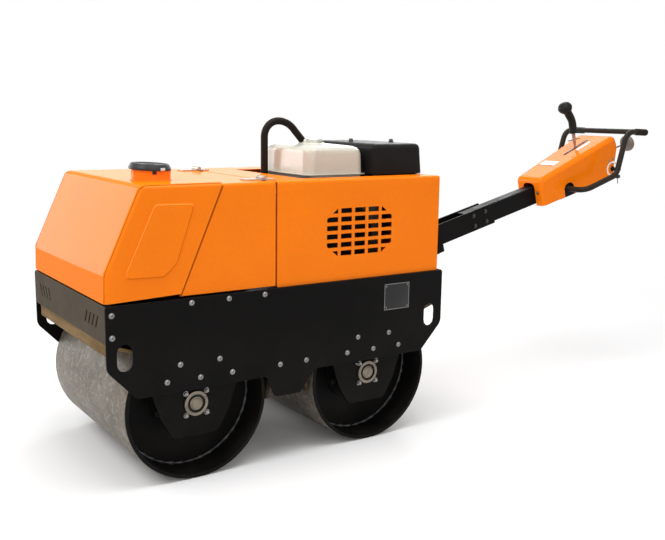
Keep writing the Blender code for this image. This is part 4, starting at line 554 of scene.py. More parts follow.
def bent(points, radii, steps=8):
    """A chain of straight runs whose corners are bent to the given radii."""
    points = [Vector(p) for p in points]
    result = [points[0]]
    for before, corner, after, radius in zip(points, points[1:], points[2:], radii):
        back = (before - corner).normalized()
        on = (after - corner).normalized()
        half = back.angle(on) / 2
        centre = corner + (back + on).normalized() * radius / math.sin(half)
        first = corner + back * radius / math.tan(half) - centre
        last = corner + on * radius / math.tan(half) - centre
        axis, sweep = first.rotation_difference(last).to_axis_angle()
        for k in range(steps + 1):
            result.append(centre + Matrix.Rotation(sweep * k / steps, 3, axis) @ first)
    return result + [points[-1]]


def tube(points, radius, sides, radii=None):
    """A round tube along points, closed at both ends; sides is half its sides less two."""
    curve = settle(bpy.data.curves.new("tube", "CURVE"), dimensions="3D", bevel_depth=radius,
        bevel_resolution=sides, use_fill_caps=True)
    line = curve.splines.new("POLY")
    line.points.add(len(points) - 1)
    for i, (point, place) in enumerate(zip(line.points, points)):
        point.co = (*place, 1)
        if radii:
            point.radius = radii[i]
    holder = bpy.data.objects.new("tube", curve)
    bm = bmesh.new()
    bm.from_mesh(holder.to_mesh())
    bmesh.ops.remove_doubles(bm, verts=bm.verts, dist=MERGE)
    holder.to_mesh_clear()
    bpy.data.objects.remove(holder)
    bpy.data.curves.remove(curve)
    return bm


# ---------------------------------------------------------------- fasteners
def dome_screw(radius):
    """A low domed head on a washer; the shade in its hexagon socket is painted by a separate dark shape."""
    rim = radius * 0.78
    return turned([(0, radius * 0.48), (rim * 0.45, radius * 0.46), (rim * 0.8, radius * 0.36),
        (rim, radius * 0.17), (rim, radius * 0.12), (radius, radius * 0.11), (radius, 0), (0, 0)], 16)


def socket_shade_mark(radius):
    """A dark disc that paints the shade in a head's socket, standing a hair above the dome."""
    return turned([(0, radius * 0.51), (radius * 0.24, radius * 0.505), (radius * 0.27, radius * 0.4),
        (0, radius * 0.4)], 6)


def hex_head(radius, height=None):
    """A hexagon head with a chamfered top on a round washer."""
    height = height or radius * 0.8
    bm = turned([(0, height), (radius * 0.62, height), (radius * 0.74, height * 0.88),
        (radius * 0.74, height * 0.18), (0, height * 0.18)], 6)
    washer = turned([(0, height * 0.2), (radius, height * 0.2), (radius, 0), (0, 0)], 20)
    return stamp(bm, (washer, IN_PLACE))


def screws(name, places, radius, body, finish="plated_steel"):
    """Domed screws as one piece, and the painted shade in their sockets as another."""
    make(name, [(dome_screw(radius), places)], finish, body)
    make(name + "_socket_shade", [(socket_shade_mark(radius), places)], "socket_black", body)


def hexes(name, places, radius, body, finish="dark_steel", height=None):
    make(name, [(hex_head(radius, height), places)], finish, body)


# ---------------------------------------------------------------- shells that keep their shape
KEPT = (
    # finish, rounding of its edges, CAD nodes
    ("black_paint", 0.0008, "side_plate_left side_plate_right rear_cross_plate deck arm_tube"),
    ("black_paint", 0.001, "centre_crossbeam handle_bracket handle_fork front_left_carrier "
                            "front_right_carrier rear_left_carrier rear_right_carrier"),
    ("grey_paint", 0.0008, "front_cross_plate"),
    ("tan_board", 0.001, "front_scraper rear_scraper"),
    ("worn_board", 0.001, "front_drum_inner_scraper rear_drum_inner_scraper"),
    ("orange_paint", 0.0009, "rear_cowl hood_panel control_box"),
    ("hinge_steel", 0.0005, "hood_hinge_left hood_hinge_right hood_hinge_foot_left "
                            "hood_hinge_foot_right"),
    ("tank_plastic", 0.008, "water_tank"),
    ("black_plastic", 0.0008, "air_cleaner"),
    ("cream_paint", 0.0005, "fuel_tank"),
)
KEPT_CREASE = 28
NODE_BODY = {node: body for body, nodes in frame["record"]["behaviour"]["bodies"].items()
             for node in nodes}


def keep_shells():
    for finish, rounding, nodes in KEPT:
        for node in nodes.split():
            make(node + "_finished", merged(node), finish, NODE_BODY[node], [node], KEPT_CREASE, False,
                rounding)


# ---------------------------------------------------------------- drums and bearings
SHELL_WALL = 0.0042
RIM_INNER = 0.2015
DISC_Y = 0.209
FLANGE_Y = 0.217
FLANGE_RADIUS = 0.108
AXLE_RADIUS = 0.025
AXLE_END = 0.262
FILLET = 0.011
DRUM_STEPS = 128
FLANGE_BOLTS = 8
FLANGE_BOLT_CIRCLE = 0.09
FLANGE_BOLT_RADIUS = 0.0105
PLUG_CIRCLE = 0.158
PLUG_RADIUS = 0.015
PLUG_HEIGHT = 0.008


def mirrored(side):
    """A profile of one end of a drum, followed by that of the other end."""
    return side + [(radius, -y) for radius, y in reversed(side)]


def drum(end):
    """The steel shell, and the black painted drum body with its deep end discs."""
    body = end + "_drum_body"
    node = end + "_drum"
    centre = AXLES[end]
    place = facing(centre, (0, 1, 0))
    half = DRUM_HALF
    outer = DRUM_RADIUS
    edge = half - 0.0024
    sleeve = mirrored([(outer - SHELL_WALL, edge), (outer - 0.001, edge), (outer - 0.0003, edge - 0.0004),
        (outer, edge - 0.0016)])
    make(end + "_drum_shell", [(turned(sleeve, DRUM_STEPS, ring=True), place)], "drum_steel", body,
        [node], 40)
    turns = [math.radians(15 * k) for k in range(7)]
    fillet = [(RIM_INNER - FILLET * (1 - math.sin(t)), DISC_Y + FILLET * (1 - math.cos(t))) for t in turns]
    side = [(0, AXLE_END), (AXLE_RADIUS - 0.001, AXLE_END), (AXLE_RADIUS, AXLE_END - 0.001),
        (AXLE_RADIUS, FLANGE_Y), (FLANGE_RADIUS - 0.002, FLANGE_Y), (FLANGE_RADIUS, FLANGE_Y - 0.002),
        (FLANGE_RADIUS, DISC_Y), *fillet, (RIM_INNER, half - 0.0018), (RIM_INNER + 0.0006, half - 0.0005),
        (RIM_INNER + 0.002, half), (outer - 0.0026, half), (outer - 0.0012, half - 0.0005),
        (outer - 0.0007, half - 0.0016), (outer - 0.0007, half - 0.0022),
        (outer - SHELL_WALL - 0.0001, half - 0.0022)]
    make(end + "_drum_body_and_discs", [(turned(mirrored(side), DRUM_STEPS), place)], "black_paint", body,
        [node], 35)
    bolts = []
    plugs = []
    for sign in SIDES.values():
        face = Vector((centre.x, sign * FLANGE_Y, centre.z))
        for k in range(FLANGE_BOLTS):
            angle = math.tau * (k + 0.5) / FLANGE_BOLTS
            shift = Vector((math.cos(angle), 0, math.sin(angle))) * FLANGE_BOLT_CIRCLE
            bolts.append(facing(face + shift, (0, sign, 0), 0.3 * k))
        plug = Vector((centre.x, sign * (DISC_Y - 0.002), centre.z + PLUG_CIRCLE))
        plugs.append(facing(plug, (0, sign, 0)))
    hexes(end + "_drum_flange_bolts", bolts, FLANGE_BOLT_RADIUS, body)
    hexes(end + "_drum_fill_plugs", plugs, PLUG_RADIUS, body, height=PLUG_HEIGHT)


HUB_FACE_Y = 0.29
HUB_BOLT_REACH = 0.0315
HUB_BOLT_RADIUS = 0.0078
HUB_BOLT_HEIGHT = 0.0085
CARRIER_Y = 0.283
# heights from the hub's face: cap, groove for the seal, ring, and the housing behind it
HUB_PROFILE = mm((0, 0.8), (12, 1), (14.2, 0.4), (15.2, -1), (18.4, -1.2), (19.2, -2), (19.4, -8),
    (26.2, -8), (26.6, -0.4), (28, 0), (33.6, 0), (35.2, -0.7), (36, -2.4), (36, -17.3), (59, -17.3),
    (60, -18.3), (60, -27.3), (52, -29.3), (52, -57.3), (25.2, -57.3), (25.2, -23.3), (0, -23.3))
SEAL_PROFILE = mm((19.3, -7.6), (26.3, -7.6), (26.3, -8.2), (19.3, -8.2))
NIPPLE_PROFILE = mm((0, 14), (1.8, 13.5), (2.4, 12), (1.6, 10.5), (3, 8.5), (3.8, 8), (3.8, 0), (0, 0))


def bearing(end, side):
    """Turned hub ring with its cap, grooves and seal, and the four bolts round it."""
    sign = SIDES[side]
    way = (0, sign, 0)
    name = f"{end}_{side}_bearing"
    place = facing(AXLES[end] + Vector((0, sign * HUB_FACE_Y, 0)), way)
    make(name + "_housing", [(turned(HUB_PROFILE, 64), place)], "bare_steel", "frame", [name], 32)
    make(name + "_seal", [(turned(SEAL_PROFILE, 48, ring=True), place)], "socket_black", "frame", [name])
    carrier = AXLES[end] + Vector((0, sign * CARRIER_Y, 0))
    bolts = [facing(carrier + Vector((across * HUB_BOLT_REACH - 0.0016, 0, up * HUB_BOLT_REACH)),
                    way, 0.4 * across + up) for across in (-1, 1) for up in (-1, 1)]
    hexes(name + "_bolts", bolts, HUB_BOLT_RADIUS, "frame", "plated_steel", HUB_BOLT_HEIGHT)
    if end == "rear":
        nipple = carrier + Vector((HUB_BOLT_REACH + 0.013, 0, HUB_BOLT_REACH + 0.003))
        make(name + "_grease_nipple", [(turned(NIPPLE_PROFILE, 12), facing(nipple, way))], "plated_steel",
            "frame")


# along X and height: top row, front column, between the drums
PLATE_SCREWS = ((0.3145, 0.5045), (0.2021, 0.5045), (0.0891, 0.5045), (0.538, 0.494), (0.538, 0.435),
    (0.038, 0.2925), (-0.051, 0.2927))
# from the axle: the screws that hold the rubber mounts
MOUNT_SCREWS = ((-0.059, 0.125), (0.059, 0.125), (0.0, 0.081), (-0.098, 0.081), (0.098, 0.081))
PLATE_SCREW_RADIUS = 0.0079


def plate_screws():
    """Screws of the side plates: edges, crossbeam and the drum carriers' rubber mounts."""
    for side, sign in SIDES.items():
        spots = [at(x, sign * PLATE_Y, z) for x, z in PLATE_SCREWS]
        spots += [centre + Vector((x - 0.0024, sign * PLATE_Y, z + 0.0004))
                  for centre in AXLES.values() for x, z in MOUNT_SCREWS]
        places = [facing(spot, (0, sign, 0), 0.7 * i) for i, spot in enumerate(spots)]
        screws(f"side_plate_screws_{side}", places, PLATE_SCREW_RADIUS, "frame")


# ---------------------------------------------------------------- filler, fuel tank and air cleaner
CAP_LEAN = Vector((-0.043, 0.029, 1))      # the cap sits a little askew on its neck
CAP_SHIFT = Vector((0.0022, -0.0015, 0))
LATCH_WAY = math.radians(104)
# where the dark block that paints the shade of a notch below the cap stands, round the neck
NOTCH_SHADE_WAY = math.radians(78)


def upright(node):
    """Radius and height of an upright round CAD node in millimetres, and its foot's middle."""
    low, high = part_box(node)
    foot = Vector(((low.x + high.x) / 2, (low.y + high.y) / 2, low.z))
    return (high.x - low.x) / 2 * 1000, (high.z - low.z) * 1000, foot


def filler():
    """Filler neck with a rolled lip, its dished cap, the cap's bright latch, and a dark block that paints the
    shade of a notch under the cap.
    """
    r, h, base = upright("filler_neck")
    r += 1.0               # the finished neck stands this far proud of the CAD's
    neck = turned(mm((r - 4.5, h - 1), (r - 3.5, h), (r - 1, h), (r, h - 1), (r, 3), (r + 0.8, 1.2),
        (r + 3, 0.4), (r + 3, 0), (r - 4.5, 0)), 72, ring=True)
    make("filler_neck_finished", [(neck, moved(base))], "orange_paint", "hood", ["filler_neck"])
    rim = base + Vector((0, 0, h / 1000 + 0.0006))
    cap = turned(mm((0, 8.8), (12, 8.8), (13, 9.6), (15, 9.6), (16, 8.8), (r - 8.3, 8.8), (r - 5.8, 10.6),
        (r - 3.8, 11.2), (r - 2, 10.8), (r - 0.8, 9.4), (r + 4.2, 0.2), (r + 5, -1.4), (r + 5, -4.4),
        (r + 4, -5.6), (r + 3, -5.6), (r + 2.8, -0.4), (0, -0.4)), 96)
    place = facing(rim + CAP_SHIFT + Vector((0, 0, 0.0012)), CAP_LEAN)
    make("filler_cap_finished", [(cap, place)], "cap_plastic", "hood", ["filler_cap"])

    def beside(middle, way, reach, drop):
        """A place on the cap's edge, this many millimetres past the neck and below the rim."""
        out = Vector((math.cos(way), math.sin(way), 0)) * (r + reach) / 1000
        turn = Matrix.Rotation(way + math.pi / 2, 4, "Z")
        return moved(middle + out - Vector((0, 0, drop / 1000))) @ turn

    latch = block((0.015, 0.0026, 0.0085), 0.0009)
    make("filler_cap_latch", [(latch, beside(rim + CAP_SHIFT, LATCH_WAY, 4.4, 2))], "latch_steel", "hood",
        ["filler_cap"])
    # a dark block on the neck below the cap that paints the shade of a notch
    notch_shade = block((0.011, 0.004, 0.009), 0.0012)
    make("filler_cap_notch_shade", [(notch_shade, beside(rim, NOTCH_SHADE_WAY, 0.6, 10))], "socket_black", "hood",
        ["filler_cap"])


CAP_RIBS = 20


def fuel_cap():
    """Metal cap with a knurled rim on the tank's sunk collar."""
    r, h, base = upright("fuel_cap")
    cap = turned(mm((0, h - 1.2), (r * 0.3, h - 1.2), (r * 0.34, h), (r * 0.78, h), (r * 0.9, h - 1),
        (r * 0.95, h - 3), (r * 0.95, 3), (r, 2.2), (r, 0.4), (r - 1, 0), (0, 0)), 64)
    middle = moved(base + Vector((0, 0, h * 0.46 / 1000)))
    out = moved((r * 0.955 / 1000, 0, 0))
    ribs = [middle @ Matrix.Rotation(math.tau * k / CAP_RIBS, 4, "Z") @ out for k in range(CAP_RIBS)]
    rib = block((0.0022, 0.0034, h * 0.5 / 1000), 0.0007)
    make("fuel_cap_finished", [(cap, moved(base)), (rib, ribs)], "cap_steel", "frame", ["fuel_cap"])
    collar = turned(mm((r + 1.5, 1), (r + 3.5, 1.6), (r + 6, 0.4), (r + 8.5, -3), (r + 1.5, -3)), 64,
        ring=True)
    make("fuel_tank_collar", [(collar, moved(base))], "cream_paint", "frame")


CLEANER_NUTS = ((-0.392, 0.034), (-0.506, 0.101))
NUT_DEPTH = 0.0109         # from the lid's highest point down to the nuts' seats


def cleaner_nuts():
    """The two domed nuts that hold the air cleaner's lid down."""
    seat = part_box("air_cleaner")[1].z - NUT_DEPTH
    nut = turned(mm((0, 10.6), (3.4, 10.2), (6, 8.4), (7.2, 6), (7.4, 2.4), (9.8, 2), (10, 0), (0, 0)),
        20)
    make("air_cleaner_nuts", [(nut, [facing(at(x, y, seat), (0, 0, 1)) for x, y in CLEANER_NUTS])],
        "dark_steel", "frame")


HOSE_CORNERS = ((-0.102, 0.7903), (-0.102, 0.983), (-0.186, 0.983), (-0.243, 0.9215))
HOSE_BENDS = (0.05, 0.075)
HOSE_Y = -0.03
HOSE_RADIUS = 0.0116


def breather_hose():
    """Rubber hose bent over from the engine to the tank."""
    path = bent([at(x, HOSE_Y, z) for x, z in HOSE_CORNERS], HOSE_BENDS, 14)
    make("breather_hose_finished", tube(path, HOSE_RADIUS, 8), "black_rubber", "frame", ["breather_hose"],
        50)


# ---------------------------------------------------------------- engine
FIN_COUNT = 12
FIN_START = 0.52           # lowest fin, and the step to the next, as shares of the height
FIN_STEP = 0.026
SLAT_COUNT = 14
STARTER_PROFILE = mm((0, 17), (20, 17), (24, 14), (52, 14), (60, 16), (84, 12), (92, 4), (92, 0), (0, 0))


def engine():
    """Crankcase, finned cylinder, fan shroud with its starter cover, and the exhaust box."""
    low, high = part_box("engine_block")
    middle = (low + high) / 2
    length, width, height = high - low
    crank_y = middle.y - 0.01
    cylinder_x = middle.x + length * 0.1
    cylinder_y = middle.y - 0.03
    levels = [low.z + height * (FIN_START + FIN_STEP * k) for k in range(FIN_COUNT)]
    fins = [moved((cylinder_x, cylinder_y, level)) for level in levels]
    crank = block((length * 0.56, width * 0.66, height * 0.52), 0.018, 4)
    foot = block((length * 0.72, width * 0.6, 0.014), 0.003)
    fin = block((length * 0.5, width * 0.48, 0.0035), 0.001)
    cylinder = block((length * 0.34, width * 0.34, height * 0.36), 0.01)
    top = block((length * 0.6, width * 0.7, 0.016), 0.004)
    parts = [
        (crank, moved((middle.x + 0.02, crank_y, low.z + height * 0.28))),
        (foot, moved((middle.x, crank_y, low.z + 0.007))),
        (fin, fins),
        (cylinder, moved((cylinder_x, cylinder_y, low.z + height * 0.66))),
        (top, moved((middle.x + length * 0.04, middle.y, high.z - 0.008))),
    ]
    make("engine_crankcase_and_fins", parts, "engine_metal", "frame", ["engine_block"])
    shroud_z = middle.z + height * 0.06
    shroud = block((length * 0.62, 0.06, height * 0.74), 0.022, 5)
    make("engine_fan_shroud", [(shroud, moved((middle.x, high.y - 0.048, shroud_z)))], "grey_plastic",
        "frame", ["engine_block"])
    face = Vector((middle.x, high.y - 0.0185, shroud_z))
    front = face + Vector((0, 0.015, 0))
    out = moved((0.038, 0, 0))
    slats = [facing(front, (0, 1, 0), math.tau * k / SLAT_COUNT) @ out for k in range(SLAT_COUNT)]
    slat = block((0.026, 0.0045, 0.004), 0.0012)
    make("engine_starter_cover", [(turned(STARTER_PROFILE, 48), facing(face, (0, 1, 0))), (slat, slats)],
        "black_plastic", "frame", ["engine_block"])
    exhaust = block((length * 0.24, width * 0.62, height * 0.42), 0.02, 4)
    place = moved((low.x + length * 0.13, middle.y - 0.02, low.z + height * 0.62))
    make("engine_exhaust_box", [(exhaust, place)], "dark_steel", "frame", ["engine_block"])


# ---------------------------------------------------------------- hood fittings
HOOD_BOLTS = ((0.0654, 0.262), (0.0551, -0.1606))
HOOD_BOLT_RADIUS = 0.0074
NOSE_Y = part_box("hood_nose")[1].y - 0.0025        # the nose's side, without its raised panel
HOOD_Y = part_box("hood_panel")[1].y
PANEL_LIFT = 0.0012
PANEL_SHRINK = 0.955
NOSE_ROUND = 0.014
# side view of the nose, along X and up: foot of its front, break, top of its slope, top's rear
NOSE_LINE = ((0.555, 0.5235), (0.553, 0.598), (0.45, 0.824), (0.218, 0.824))
# the painted shade line along the nose's fold: its inset, bends and radius
FOLD_INSET = 0.0022
FOLD_BENDS = (0.03, 0.024)
FOLD_RADIUS = 0.0013
PANEL_EDGE_RADIUS = 0.0011
LIGHT_WAY = Vector((0.45, 0, 0.89))               # edges of the raised panels that face it get a painted highlight, the others painted shade
# foot and top of the nose's slanting seam, along X and up; a painted shadow strip lies just behind it
SEAM = ((0.3484, 0.5215), (0.218, 0.8185))
SEAM_SHADE_WIDTH = 0.0062


def hood_bolts():
    """The dark bolts through the hood's top beside its hinges."""
    places = [facing(at(x, y, COWL_TOP), (0, 0, 1), x * 40) for x, y in HOOD_BOLTS]
    screws("hood_top_bolts", places, HOOD_BOLT_RADIUS, "hood", "dark_steel")


def depth_inside(x, z):
    """How far a place in side view lies inside the nose's front, slope and top."""
    depths = []
    for (x0, z0), (x1, z1) in zip(NOSE_LINE, NOSE_LINE[1:]):
        run = Vector((x1 - x0, z1 - z0)).normalized()
        depths.append((x0 - x) * run.y - (z0 - z) * run.x)
    return min(depths)


def fold_path(sign):
    """The line where the nose's side begins, laid on its rounded shoulder."""
    inner = []
    for k, (x, z) in enumerate(NOSE_LINE):
        lines = NOSE_LINE[max(k - 1, 0):k + 2]
        ways = [Vector((b[0] - a[0], b[1] - a[1])).normalized() for a, b in zip(lines, lines[1:])]
        inward = sum((Vector((-way.y, way.x)) for way in ways), Vector((0, 0))).normalized()
        reach = FOLD_INSET / inward.dot(Vector((-ways[0].y, ways[0].x)))
        inner.append(at(x + inward.x * reach, 0, z + inward.y * reach))
    inner[0].z += 0.002
    path = bent(inner, FOLD_BENDS)
    for point in path:
        gap = NOSE_ROUND - max(0.0, min(NOSE_ROUND, depth_inside(point.x - MIDDLE_X, point.z)))
        drop = NOSE_ROUND - math.sqrt(NOSE_ROUND ** 2 - gap ** 2)
        point.y = sign * (NOSE_Y - drop - 0.0004)
    return path


def panel_edges(bm, sign):
    """Outline of the raised panel on one flank, in order round it."""
    tops = [f for f in bm.faces if all(v.co.y * sign > NOSE_Y + 0.001 for v in f.verts)]
    face = max(tops, key=lambda f: f.calc_area())
    return [v.co.copy() for v in face.verts]


def nose():
    """The nose with sloped panel sides; painted highlight and shade on the panels' edges, painted shade on its
    fold and seam.
    """
    bm = merged("hood_nose")
    lit = bmesh.new()
    shaded = bmesh.new()
    folds = []
    seams = []
    for sign in SIDES.values():
        raised = [v for v in bm.verts if v.co.y * sign > NOSE_Y + 0.001]
        middle = sum((v.co for v in raised), Vector()) / len(raised)
        bmesh.ops.scale(bm, vec=(PANEL_SHRINK, 1, PANEL_SHRINK), verts=raised, space=moved(-middle))
        bmesh.ops.translate(bm, vec=(0, sign * PANEL_LIFT, 0), verts=raised)
        outline = panel_edges(bm, sign)
        centre = sum(outline, Vector()) / len(outline)
        # thin tubes round each raised panel: painted highlight on edges that face LIGHT_WAY, painted shade on the
        # rest
        for point, after in zip(outline, outline[1:] + outline[:1]):
            run = after - point
            out = Vector((run.z, 0, -run.x)).normalized()
            if out.dot(point - centre) < 0:
                out = -out
            shift = out * 0.0016 - Vector((0, sign * 0.0012, 0))
            edge = tube([point + shift, after + shift], PANEL_EDGE_RADIUS, 2)
            stamp(lit if out.dot(LIGHT_WAY) > 0.0 else shaded, (edge, IN_PLACE))
        # a painted shade line along the nose's fold
        folds.append((tube(fold_path(sign), FOLD_RADIUS, 3), IN_PLACE))
        # a painted shadow strip on the hood panel just behind the nose's seam
        foot, top = (at(x - 0.004, sign * (HOOD_Y + 0.0002), z) for x, z in SEAM)
        way = top - foot
        seam = block((way.length - 0.008, SEAM_SHADE_WIDTH, 0.001), 0.0003)
        seams.append((seam, lying((foot + top) / 2, (0, sign, 0), way)))
    make("hood_nose_finished", bm, "orange_paint", "hood", ["hood_nose"], KEPT_CREASE, False, 0.001)
    make("hood_panel_edges_painted_highlight", lit, "edge_orange", "hood")
    make("hood_panel_edges_painted_shade", shaded, "fold_shade", "hood")
    make("hood_nose_fold_painted_shade", folds, "fold_shade", "hood")
    make("hood_slanting_seam_shade", seams, "seam_shade", "hood")


STRIP_WIDTH = 0.026
STRIP_THICK = 0.004
STRIP_DEPTH = 0.0048       # from the cowl's outside to the middle of a strip


def seam_strips():
    """Strips behind the joint between hood and cowl, fixed inside the cowl, whose dark orange paints the joint's
    shadow.
    """
    low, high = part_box("rear_cowl")
    x = HOOD_JOINT_X - STRIP_WIDTH / 2 - 0.0006
    z = (low.z + high.z) / 2
    side = block((STRIP_WIDTH, STRIP_THICK, high.z - low.z - 0.016), 0.001)
    places = [moved((x, sign * (high.y - STRIP_DEPTH), z)) for sign in SIDES.values()]
    top = block((STRIP_WIDTH, 2 * high.y - 0.02, STRIP_THICK), 0.001)
    make("hood_seam_shadow_strips", [(side, places), (top, moved((x, 0, high.z - STRIP_DEPTH)))], "seam_shade",
        "frame")


# ---------------------------------------------------------------- plates, beam and scrapers
PLATE_MIDDLE = (-0.3823, 0.451)
PLATE_LENGTH = 0.0965
PLATE_HEIGHT = 0.082
BORDER = 0.0022
BORDER_THICK = 0.0016
RIVET_INSET = 0.0075
BOLT_RADIUS = 0.0085
BOARD_BOLTS = 5
BOARD_BOLT_HEIGHT = 0.007
BEAM_BOLT_HEIGHT = 0.006


def rating_plate():
    """A blank rating plate with a raised pale border and a rivet at each corner."""
    middle = at(PLATE_MIDDLE[0], PLATE_Y, PLATE_MIDDLE[1])
    half_x = (PLATE_LENGTH - BORDER) / 2
    half_z = (PLATE_HEIGHT - BORDER) / 2

    def around(x, y, z):
        return middle + Vector((x, y, z))

    plate = block((PLATE_LENGTH - 0.006, 0.0012, PLATE_HEIGHT - 0.006), 0.0004)
    make("rating_plate", [(plate, moved(around(0, 0.0004, 0)))], "plate_black", "frame")
    border = []
    for way in (-1, 1):
        end = block((BORDER, BORDER_THICK, PLATE_HEIGHT), 0.0005)
        edge = block((PLATE_LENGTH - 2 * BORDER, BORDER_THICK, BORDER), 0.0005)
        border.append((end, moved(around(way * half_x, 0.0005, 0))))
        border.append((edge, moved(around(0, 0.0005, way * half_z))))
    make("rating_plate_border", border, "plated_steel", "frame")
    rivet = turned(mm((0, 1.6), (1.6, 1.3), (2.4, 0.4), (2.4, 0), (0, 0)), 12)
    x = PLATE_LENGTH / 2 - RIVET_INSET
    z = PLATE_HEIGHT / 2 - RIVET_INSET
    corners = ((-x, -z), (-x, z), (x, -z), (x, z))
    rivets = [facing(around(along, 0.0009, up), (0, 1, 0)) for along, up in corners]
    make("rating_plate_rivets", [(rivet, rivets)], "plated_steel", "frame")


def scraper_strip():
    """The front board's turned-down edge, which hangs in front of the drum."""
    low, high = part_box("front_scraper")
    strip = block((0.01, high.y - low.y, 0.0345), 0.0016)
    make("front_scraper_strip", [(strip, moved((high.x - 0.0052, 0, high.z - 0.018)))], "tan_board",
        "frame", ["front_scraper"])


def across_board(low, high):
    """Places of a board's bolts, evenly over its length."""
    return [low.y + (high.y - low.y) * (k + 0.5) / BOARD_BOLTS for k in range(BOARD_BOLTS)]


def scraper_bolts():
    """Bolts through the boards into the cross plates' lips and the crossbeam."""
    beam_low, beam_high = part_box("centre_crossbeam")
    outer = []
    inner = []
    for end, out in (("front", 1), ("rear", -1)):
        low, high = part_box(end + "_scraper")
        edge = (high if out > 0 else low).x - out * 0.022
        outer += [facing((edge, y, high.z - 0.0165), (0, 0, -1)) for y in across_board(low, high)]
        low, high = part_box(end + "_drum_inner_scraper")
        face = (beam_high if out > 0 else beam_low).x + out * 0.0103
        inner += [facing((face, y, high.z - 0.014), (out, 0, 0)) for y in across_board(low, high)]
    hexes("scraper_bolts", outer, BOLT_RADIUS, "frame", height=BOARD_BOLT_HEIGHT)
    hexes("crossbeam_scraper_bolts", inner, BOLT_RADIUS, "frame", height=BEAM_BOLT_HEIGHT)


MOUNT_START_Y = 0.2835
MOUNT_PROFILE = mm((17.5, 21.1), (21.5, 20.7), (21.5, 17.2), (19.5, 13.33), (19.5, 8.17), (21.5, 4.3),
    (21.5, 0.8), (17.5, 0.4))


def rubber_mounts():
    """Waisted rubber mounts between the drum carriers and the side plates."""
    places = []
    for centre in AXLES.values():
        for sign in SIDES.values():
            places += [facing(centre + Vector((x, sign * MOUNT_START_Y, z)), (0, sign, 0))
                       for x, z in MOUNT_SCREWS]
    make("rubber_mounts", [(turned(MOUNT_PROFILE, 28, ring=True), places)], "black_rubber", "frame")


WELD_STEPS = 220
WELD_CIRCLE = 0.1965
WELD_RADIUS = 0.0052


def weld_bead(end):
    """The bumpy weld that joins each end disc to the drum's shell."""
    beads = []
    for sign in SIDES.values():
        centre = AXLES[end] + Vector((0, sign * (DISC_Y + 0.0035), 0))
        points = []
        radii = []
        for k in range(WELD_STEPS + 1):
            angle = math.tau * k / WELD_STEPS
            points.append(centre + Vector((math.cos(angle), 0, math.sin(angle))) * WELD_CIRCLE)
            radii.append(1 + 0.34 * math.sin(k * 1.13) + 0.2 * math.sin(k * 0.37 + sign))
        beads.append((tube(points, WELD_RADIUS, 2, radii), IN_PLACE))
    make(end + "_drum_welds", beads, "weld_black", end + "_drum_body", crease=60)


# ---------------------------------------------------------------- handle
# along the arm and above it
BAR_CORNERS = ((0.7616, -0.008), (0.945, 0.002), (1.032, 0.153), (1.1415, 0.1213))
BAR_BENDS = [0.035, 0.045, 0.05]
BAR_SPREAD = 0.157
BAR_RADIUS = 0.011
CROSS_BAR = (1.07, 0.142)
SLEEVE_LENGTH = 0.062
SLEEVE_RIBS = 9
SLEEVE_RIB = ((12.3, -2.2), (13.2, -1.4), (13.2, 1.4), (12.3, 2.2))


def handlebar():
    """The bent bar with its cross bar, and the ribbed rubber sleeves on its ends."""
    side = [arm(s, BAR_SPREAD, n) for s, n in BAR_CORNERS]
    far = [arm(s, -BAR_SPREAD, n) for s, n in reversed(BAR_CORNERS)]
    bar = tube(bent(far + side, BAR_BENDS[::-1] + BAR_BENDS, 10), BAR_RADIUS, 7)
    s, n = CROSS_BAR
    inset = BAR_SPREAD - 0.004
    cross = tube([arm(s, -inset, n), arm(s, inset, n)], BAR_RADIUS - 0.0006, 7)
    make("handlebar_finished", stamp(bar, (cross, IN_PLACE)), "bar_black", "handle", ["handlebar"], 40)
    for name, sign in (("grip_left", 1), ("grip_right", -1)):
        root, tip = (arm(s, sign * BAR_SPREAD, n) for s, n in BAR_CORNERS[-2:])
        run = (tip - root).normalized()
        ribs = [(radius, 6 + 5.8 * k + height) for k in range(SLEEVE_RIBS) for radius, height in SLEEVE_RIB]
        sleeve = turned(mm((11.1, 0), (13.2, 0.4), (13.2, 3), *ribs, (13.2, 59), (12.2, 61.4),
            (9.2, 63.2), (0, 63.4), (0, 61), (11.1, 61)), 28)
        bmesh.ops.holes_fill(sleeve, edges=[e for e in sleeve.edges if e.is_boundary], sides=0)
        make(name + "_sleeve", [(sleeve, facing(tip - run * (SLEEVE_LENGTH - 0.001), run))],
            "black_rubber", "handle", [name], 30)


LEVER = (0.907, -0.003)    # along the arm and across it
LEVER_RADIUS = 0.0072
LEVER_ROUTE = ((0.907, 0.1748), (0.9075, 0.225), (0.88, 0.278))
ROD_HEIGHTS = (0.176, 0.15, 0.114, 0.1, 0.034)
ROD_WIDTHS = (1.0, 0.95, 0.52, 0.5, 0.5)
GRIP_RADIUS = 0.0133
KNOB = (0.876, 0.2836)
KNOB_STRETCH = 1.14
KNOB_PROFILE = mm((0, 22.5), (8, 21.8), (16, 18.3), (22.5, 12), (25.8, 4), (26.2, 0), (25, -6),
    (21.5, -13), (16, -20), (0, -25))


